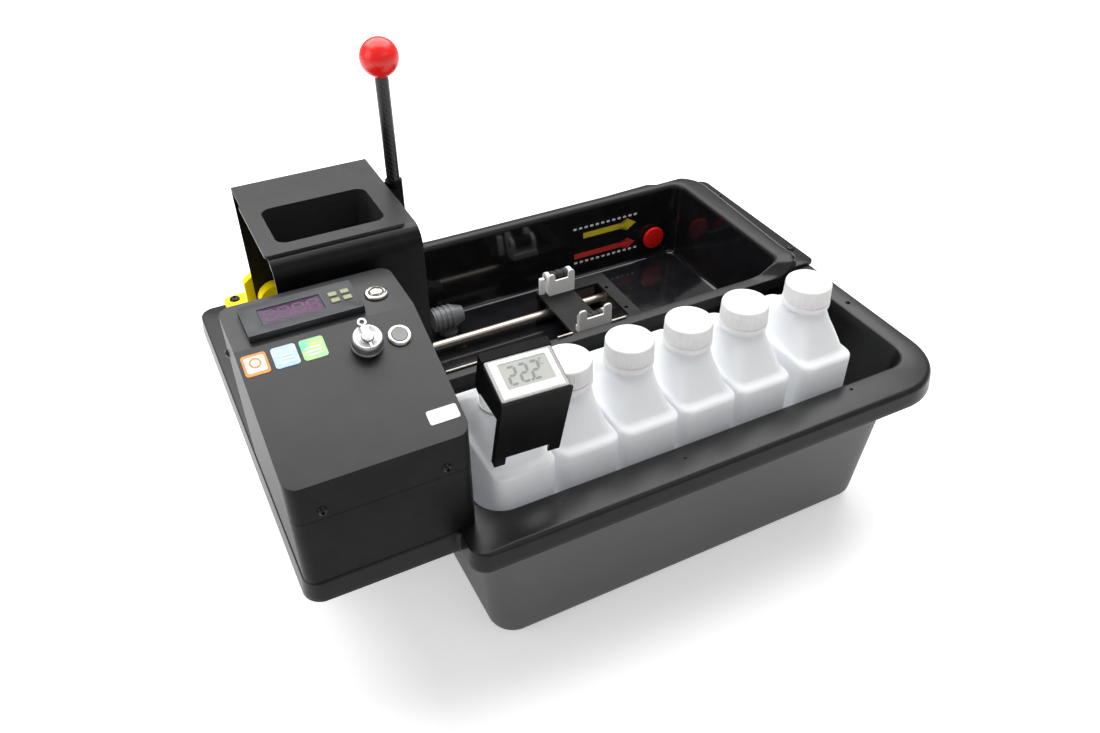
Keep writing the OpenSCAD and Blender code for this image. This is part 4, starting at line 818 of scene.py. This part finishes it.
# push-buttons
for node, material, slotName in (("pump_bezel", "buttonSteel", "button_steel"),
                                 ("low_speed_bezel", "buttonSteel", "button_steel"),
                                 ("pump_cap", "buttonSteel", "button_steel"),
                                 ("low_speed_cap", "greyCap", "cap_grey")):
    dressed(node, material, 0.3, 2)
dot = lathe([(0, 0), (0.8, 0), (0.8, 0.25), (0.6, 0.4), (0, 0.45)], 24)
onLowSpeed = onSlope(101.0, 85.3) @ spot(0, 0, 2.0)
finishPiece("speedDot", moved(dot, onLowSpeed), "low_speed_button", "inkRed")

# speed knob: knurled skirt, turned top, pointer and ring tab
knob = {"x": 79.0, "s": 79.0, "radius": 10.3, "height": 9.6, "ridges": 44, "depth": 0.35}


def buildKnob():
    r, h, ridges = knob["radius"], knob["height"], knob["ridges"]
    bore = [(0, 8.4), (3.2, 8.4)]
    foot = [(4.3, 2.5), (r - 0.5, 2.5), (r, 3.0), (r, 4.6), (r - 0.2, 4.8)]
    side = [(r - 0.15, 5.2), (r - 0.25, 8), (r - 0.4, h + 0.6)]
    top = [(r - 0.7, h + 1.1), (r - 1.3, h + 2.2), (r - 1.8, h + 2.35)]
    top += [(q, h + 2.35 - 0.14 * (i % 2)) for i, q in enumerate(np.arange(r - 2.2, 4.4, -0.42))]
    top += [(4.2, h + 2.3), (4.0, h + 3.6), (3.7, h + 3.95), (0, h + 4.0)]
    deep = np.repeat([0, knob["depth"], 0], [len(bore + foot), len(side), len(top)])
    return lathe(bore + foot + side + top, ridges * 4,
                 wobble=lambda a, i: -deep[i] * (0.5 + 0.5 * np.cos(ridges * a)))


top = knob["height"] + 2.0
tabSection = [(1.35, 0.2), (3.1, 0.2), (3.2, 0.4), (3.2, 1.6), (2.9, 1.95), (1.7, 1.95), (1.35, 1.6)]
tab = lathe(tabSection, 40, closed=False)
stem = softBox(-2.9, -4.5, 0.1, 5.8, 12.4, 2.1, 2.6, 0.5)
pointer = softBox(-0.9, -9.4, 0.2, 1.8, 9.4, 1.0, 0.3, 0.25)
onTop = spot(0, 0, top)
knobShape = joined(buildKnob(), moved(tab, spot(0, 10.5, top)), moved(stem, onTop), moved(pointer, onTop))
finishPiece("speedDial", moved(knobShape, onSlope(knob["x"], knob["s"])), "speed_knob", "knobSilver",
            ["speed_knob"], 30)
dressed("speed_control", "buttonSteel", 0.2)

# coloured squares with a border, the first with a disc and ring, the others with three bars, and a bare label
stickers = {"s": 88.6, "size": 15.5, "places": [(11, "inkOrange"), (29.5, "inkBlue"), (47.3, "inkGreen")]}
plateTop, borderTop = 0.28, 0.34
half = stickers["size"] / 2
ringTurn = np.linspace(0, 2 * math.pi, 40, endpoint=False)


def ringSketch(radius, z):
    return ringAt(np.column_stack([radius * np.cos(ringTurn), 1.0 + radius * np.sin(ringTurn)]), z)


for n, (x, ink) in enumerate(stickers["places"]):
    place = onSlope(x, stickers["s"])
    plate = panelPlate(boxLoop(-half, -half, half, half, 2.0), 0.0, plateTop)
    border = ringTube([ringAt(boxLoop(-half, -half, half, half, 2.0, -i), z)
                       for i, z in ((0.1, 0.29), (0.1, borderTop), (1.3, borderTop), (1.3, 0.29))])
    finishPiece("sticker%d" % (n + 1), moved(plate, place), "chassis", ink,
                ["panel_labels"] if n == 0 else ())
    finishPiece("stickerEdge%d" % (n + 1), moved(border, place), "chassis", ink)
    disc = panelPlate(boxLoop(-6.2, -5.6, 6.2, 6.0, 1.5), plateTop, borderTop)
    bars = [panelPlate(boxLoop(-5, y - 0.5, 5, y + 0.5, 0.2), plateTop, 0.36) for y in (-4.2, -1.6, 1.0)]
    mark = disc if n == 0 else joined(*bars)
    finishPiece("stickerMark%d" % (n + 1), moved(mark, place), "chassis", "inkWhite")
    if n == 0:
        ring = ringTube([ringSketch(q, z) for q, z in ((2.6, 0.34), (3.8, 0.34), (3.8, 0.40), (2.6, 0.40))])
        finishPiece("stickerRing", moved(ring, place), "chassis", "inkOrange")
bare = panelPlate(boxLoop(-10, -5, 10, 5, 1.5), 0.0, 0.3)
finishPiece("bareLabel", moved(bare, onSlope(106, 17.5)), "chassis", "inkWhite")
print("control box built")

# the lift: hood, funnel, lever and ball
# painted sheen: the hood's and funnel's up-facing faces take the lighter, shinier paint
paintSheenTops(dressed("lift_hood", "hoodPaint", 0.7, 3), "hoodTop", 0.9)
paintSheenTops(dressed("funnel", "funnelPrint", 0.7, 3), "hoodTop", 0.9)
dressed("lever_clamp", "blackPlastic", 0.6, 3)
lever = {"x": 155.1, "y": 256.0, "bottom": 115.0, "top": 232.0, "radius": 5.0, "ball": 14.0}


def buildLever():
    # rings up the sleeve; u goes once round and v once along it
    rows, sides = 60, 32
    a = np.linspace(0, 2 * math.pi, sides, endpoint=False)
    r = lever["radius"]
    circle = np.column_stack([lever["x"] + r * np.cos(a), lever["y"] + r * np.sin(a)])
    shape = loft([ringAt(circle, z) for z in np.linspace(lever["bottom"], lever["top"], rows)])
    i, j = np.meshgrid(np.arange(rows - 1), np.arange(sides), indexing="ij")
    corners = ((j, i), (j + 1, i), (j + 1, i + 1), (j, i + 1))
    uv = np.stack([np.stack([u / sides, v / (rows - 1)], -1) for u, v in corners], 2)
    endCorners = 2 * 3 * sides  # three to each face of the fans that close the ends
    uv = np.concatenate([uv.reshape(-1, 2), np.zeros((endCorners, 2))])
    return finishPiece("leverSleeve", shape, "lift", "carbon", ["lever_tube"], 40, None, uv)


buildLever()
r = lever["ball"]
socket = [(5.05, -12.4), (5.05, -12.9), (5.6, -13.1), (6.4, -12.7)]
ballArc = [(r * math.cos(t), r * math.sin(t)) for t in np.radians(np.linspace(-58, 90, 40))]
ballShape = lathe(socket + ballArc, 72)
finishPiece("leverBall", moved(ballShape, spot(lever["x"], lever["y"], lever["top"] + 4)), "lift", "redGloss",
            ["lever_ball"], 60)

# nodes that keep the solid's shape: material, slot and bevel
for node, material, slotName, edgeSize in (
        ("pivot_bracket_rear", "yellowPlastic", "yellow_plastic", 1.0),
        ("pivot_bracket_front", "yellowPlastic", "yellow_plastic", 1.0),
        ("pivot_pins", "brightSteel", "steel", 0.4), ("drive_plate", "blackPlastic", "black_plastic", 0.5),
        ("drive_motor", "motorGrey", "motor_grey", 0.4), ("motor_pinion", "brass", "brass", 0.0),
        ("coupling_gear", "gearWhite", "gear_white", 0.0),
        ("tank_coupling", "blackPlastic", "black_plastic", 0.4),
        ("carriage_plate", "matteBlack", "black_plastic", 0.5),
        ("roller_brackets", "whitePlastic", "white_plastic", 0.5),
        ("roller_pins", "brightSteel", "steel", 0.3), ("rubber_feet", "rubber", "foot_rubber", 0.5),
        ("power_housing", "outerBlack", "black_plastic", 0.8),
        ("power_inlet", "blackPlastic", "black_plastic", 0.3),
        ("power_rocker", "blackPlastic", "black_plastic", 0.4),
        ("pump_body", "blackPlastic", "black_plastic", 0.6),
        ("button_screws", "screwBlack", "screw_black", 0.2),
        ("pump_nozzle", "nozzleGrey", "nozzle_grey", 0.4), ("heater_rod", "rodSteel", "heater_steel", 0.3),
        ("thermometer_holder", "blackPlastic", "black_plastic", 0.5)):
    dressed(node, material, edgeSize)

# three bright lengths of the strip on the ridge: the strip is real, but only the lengths where it shows a
# glint are built, as painted highlight, and its dark stretches are left out
strip = {"y": 184.9, "z": 4.0, "radius": 0.9, "glintSpans": [(158.5, 194), (259, 273), (311, 325)]}
lengths = []
for x0, x1 in strip["glintSpans"]:
    path = [(x, strip["y"], strip["z"]) for x in np.linspace(x0, x1, 12)]
    lengths.append(sweep(path, strip["radius"], 14))
finishPiece("ridgeGlintBits", joined(*lengths), "chassis", "stripGrey", ["ridge_strip"], 50)

# each roller stand has a plate in front of its roller: two posts with rounded tops and a low web between them
stand = {"floor": -40.0, "axis": -25.0, "thick": 1.8, "post": 8.0, "width": 33.4, "top": -16.8}


def standPlate(left, face, width, lift):
    # the posts rise by lift above the usual top, and their width follows the plate's
    right, crest = left + width, stand["top"] + lift
    web = stand["axis"] + 0.5 + lift * 0.7
    post = stand["post"] * width / stand["width"]
    outline = roundedLoop([(left, stand["floor"], 0.6), (right, stand["floor"], 0.6), (right, crest, 3.0),
                           (right - post, crest, 3.0), (right - post, web, 0.8), (left + post, web, 0.8),
                           (left + post, crest, 3.0), (left, crest, 3.0)], 0.0, 15)
    n = len(outline)
    front = np.column_stack([outline[:, 0], np.full(n, face), outline[:, 1]])
    points = np.vstack([front, front + np.array([0, stand["thick"], 0])])
    faces = [list(range(n)), list(range(2 * n - 1, n - 1, -1))]
    faces += [[k, k + n, (k + 1) % n + n, (k + 1) % n] for k in range(n)]
    return points, faces


sidePost = softBox(300.2, 300.5, -36, 5.6, 4.0, 17.2, 1.2, 0.6)
plates = joined(standPlate(301.8, 224.9, 33.4, 7.2), standPlate(310.0, 300.5, 27.5, 0.0), sidePost)
finishPiece("standPlates", plates, "carriage", "whitePlastic", (), 50)

# rubber rollers: a slim drum with three wide bands, open for its pin
drum = {"radius": 5.7, "core": 4.9, "length": 18.0, "bore": 2.2, "pitch": 6.4}
band = [(-0.8, 0.5), (-0.3, 0.6), (0, 0.9), (0, 4.3), (-0.3, 4.6), (-0.8, 4.7)]
profile = [(drum["bore"], 0), (drum["core"], 0)]
for k in range(3):
    profile += [(drum["radius"] + out, along + drum["pitch"] * k) for out, along in band]
profile += [(drum["core"], drum["length"]), (drum["bore"], drum["length"])]
drumShape = lathe(profile, 56, closed=False)
for side, x0, y0 in (("front", 311.25, 232.5), ("rear", 314.75, 309.5)):
    place = spot(x0, y0, stand["axis"], [("Y", 90)])
    finishPiece(side + "Drum", moved(drumShape, place), side + "_roller", "rubber",
                [side + "_roller"], 40)

# a slim band round the first bottle's neck and the arm that carries the holder
neckBand = lathe([(15.75, 2.0), (15.75, 4.0), (16.5, 4.0), (16.5, 2.0)], 72, closed=False)
arm = softBox(152.5, 40.0, 52.8, 15.0, 22.0, 3.4, 1.0, 0.4)
finishPiece("neckBand", joined(moved(neckBand, spot(160, 77.5, 52.3)), arm), "thermometer", "whitePlastic",
            ["holder_ring"], 40)

# the wall plug: a flat red disc with a softened edge on its stem
plugSection = [(0, 0), (10.4, 0), (11.4, 0.25), (12, 1.0), (12, 2.2), (11.6, 3), (8, 3), (8, 11.6), (0, 11.6)]
plugShape = lathe(plugSection, 64)
finishPiece("redPlug", moved(plugShape, spot(456.0, 344.0, -38.0, [("X", -90)])), "wall_plug", "redGloss",
            ["wall_plug"], 35)

# the level label on the bath's back wall: two rows of dots and two arrows
label = {"x": 362.0, "y": 351.5, "z": -4.0, "tilt": -4.02, "width": 76.0, "height": 44.0, "ink": 0.12}


def labelPiece(name, shape, material, stands=()):
    # x across, y up the wall and z out of it, from the label's lower left corner
    top = spot(label["x"], label["y"], label["z"], [("X", label["tilt"])])
    corner = top @ spot(0, -0.55, -label["height"], [("X", 90)])
    finishPiece(name, moved(shape, corner), "chassis", material, stands)


def arrow(x0, y0, length, width):
    # a bar with a pointed head
    bar, head, neck = width / 2 * 0.55, width / 2 * 1.2, x0 + length - width
    loop = [(x0, y0 - bar), (neck, y0 - bar), (neck, y0 - head), (x0 + length, y0), (neck, y0 + head),
            (neck, y0 + bar), (x0, y0 + bar)]
    return panelPlate(np.array(loop), 0.0, label["ink"])


labelPiece("levelPlate", panelPlate(boxLoop(0, 0, label["width"], label["height"], 2), -0.5, 0.0), "wetBlack",
           ["level_label"])
dots = [boxLoop(0.8 + i * 6.4, y, 4.6 + i * 6.4, y + 2.2, 0.8) for i in range(12) for y in (2.0, 40.0)]
labelPiece("levelDots", joined(*[panelPlate(loop, 0.0, label["ink"]) for loop in dots]), "inkWhite")
labelPiece("yellowArrow", arrow(12, 32.0, 62, 11), "inkYellow")
labelPiece("redArrow", arrow(1, 10.5, 72, 10), "inkRed")
print("bath and lift built")

# thermometer: white bezel, display and figures
face = {"x": 136.9, "y": 22.6, "z": 102.0, "tilt": 16.6, "turn": -3.0, "width": 46.3, "length": 33.2}
opening = (7.4, 8.6, 39.9, 28.6)
onFace = spot(face["x"], face["y"], face["z"], [("Z", face["turn"]), ("X", face["tilt"])])


def buildThermometer():
    w, l = face["width"], face["length"]
    c = (23.0, 18.0)
    loops = {"outer": (0, 0.5, w, l + 0.3, 1.4), "plate": (2.6, 2.4, 43.4, 31.6, 0.6),
             "hole": (*opening, 1.0)}
    turns = rayAngles(c, [boxLoop(*loops[name]) for name in ("outer", "hole", "plate")], 8)

    def ring(name, g, z):
        return ringAt(rayLoop(boxLoop(*loops[name], g), c, turns), z)

    rows = [ring("outer", g, z) for g, z in ((-1.5, -13.5), (-1.5, -2.2), (0, -2.0), (0, -0.6))]
    rows += [ring("outer", -0.6 * (1 - cosA), -1.0 + 0.6 * sinA) for cosA, sinA in arcSteps(4)]
    rows += [ring("plate", 0.3, -0.4)]
    whiteFrom = len(rows) - 1
    rows += [ring("plate", g, z) for g, z in ((0.05, -0.35), (0, -0.1), (-0.15, 0))]
    rows += [ring("hole", g, z) for g, z in ((0.5, 0), (0.1, -0.15), (0, -0.5), (0, -0.7))]
    return loft(rows), faceLooks(np.arange(len(rows) - 1) >= whiteFrom, len(turns))


caseShape, caseLook = buildThermometer()
finishPiece("thermometerCase", moved(caseShape, onFace), "thermometer", ["moduleGrey", "whitePlastic"],
            ["thermometer_module"], 35, caseLook)
glass = panelPlate(boxLoop(*opening, 0.9), -0.7, -0.45)
finishPiece("thermometerGlass", moved(glass, onFace), "thermometer", "lcdGreen")
slant = np.eye(4)
slant[0, 1] = 0.08
figures = moved(segmentBars("22.2", 13.2, 5.1, 1.9, 2.7, 0.05), slant)
finishPiece("thermometerFigures", moved(figures, onFace @ spot(11.0, 11.8, -0.44)), "thermometer", "lcdInk")
small = segmentBars("C", 4.4, 2.0, 0.6, 0.5, 0.05)
finishPiece("degreeMark", moved(small, onFace @ spot(34.2, 21.2, -0.44)), "thermometer", "lcdInk")
print("thermometer built")

# floor, camera and light
floorMaterial = finish("paleFloor", {"colour": (0.86, 0.86, 0.86), "second": (0.88, 0.88, 0.88),
                                     "roughness": (0.6, 0.7), "bump": 0.0, "shine": 0.1,
                                     "glowColour": (1.0, 1.0, 1.0), "glow": 0.42})
floorMesh = bpy.data.meshes.new("floor")
floorCorners = [(x, y, -0.0005) for x, y in ((-8, -8), (8, -8), (8, 8), (-8, 8))]
floorMesh.from_pydata(floorCorners, [], [(0, 1, 2, 3)])
floorMesh.materials.append(floorMaterial)
floor = bpy.data.objects.new("floor", floorMesh)
bpy.context.scene.collection.objects.link(floor)

view = {"location": (-0.2992, -0.5657, 0.6255), "forward": (0.3550, 0.6995, -0.6202), "roll": -0.24,
        "lens": 31.10}
camData = bpy.data.cameras.new("camera")
camData.sensor_width = 36
camData.lens = view["lens"]
camData.clip_start = 0.02
camera = bpy.data.objects.new("camera", camData)
turnTo = Vector(view["forward"]).to_track_quat("-Z", "Y").to_matrix().to_4x4()
roll = Matrix.Rotation(math.radians(view["roll"]), 4, "Z")
camera.matrix_world = Matrix.Translation(view["location"]) @ turnTo @ roll
bpy.context.scene.collection.objects.link(camera)
bpy.context.scene.camera = camera

bpy.context.scene.view_settings.view_transform = "Standard"
world = bpy.data.worlds.new("studio")
bpy.context.scene.world = world
world.use_nodes = True
world.node_tree.nodes["Background"].inputs["Color"].default_value = (1.0, 1.0, 1.0, 1)
world.node_tree.nodes["Background"].inputs["Strength"].default_value = 0.36


def softLight(name, place, aim, size, energy):
    lamp = bpy.data.lights.new(name, "AREA")
    lamp.shape = "RECTANGLE"
    lamp.size, lamp.size_y = size
    lamp.energy = energy
    light = bpy.data.objects.new(name, lamp)
    light.location = place
    light.rotation_euler = (Vector(aim) - Vector(place)).to_track_quat("-Z", "Y").to_euler()
    bpy.context.scene.collection.objects.link(light)


softLight("overhead", (0.15, 0.6, 1.5), (0, 0, 0.1), (2.5, 1.8), 56)
softLight("leftSoft", (-1.5, 0.1, 0.9), (0, 0, 0.1), (1.0, 1.0), 6)
softLight("frontSoft", (0.6, -1.6, 1.5), (0, 0, 0.1), (1.4, 0.8), 3)
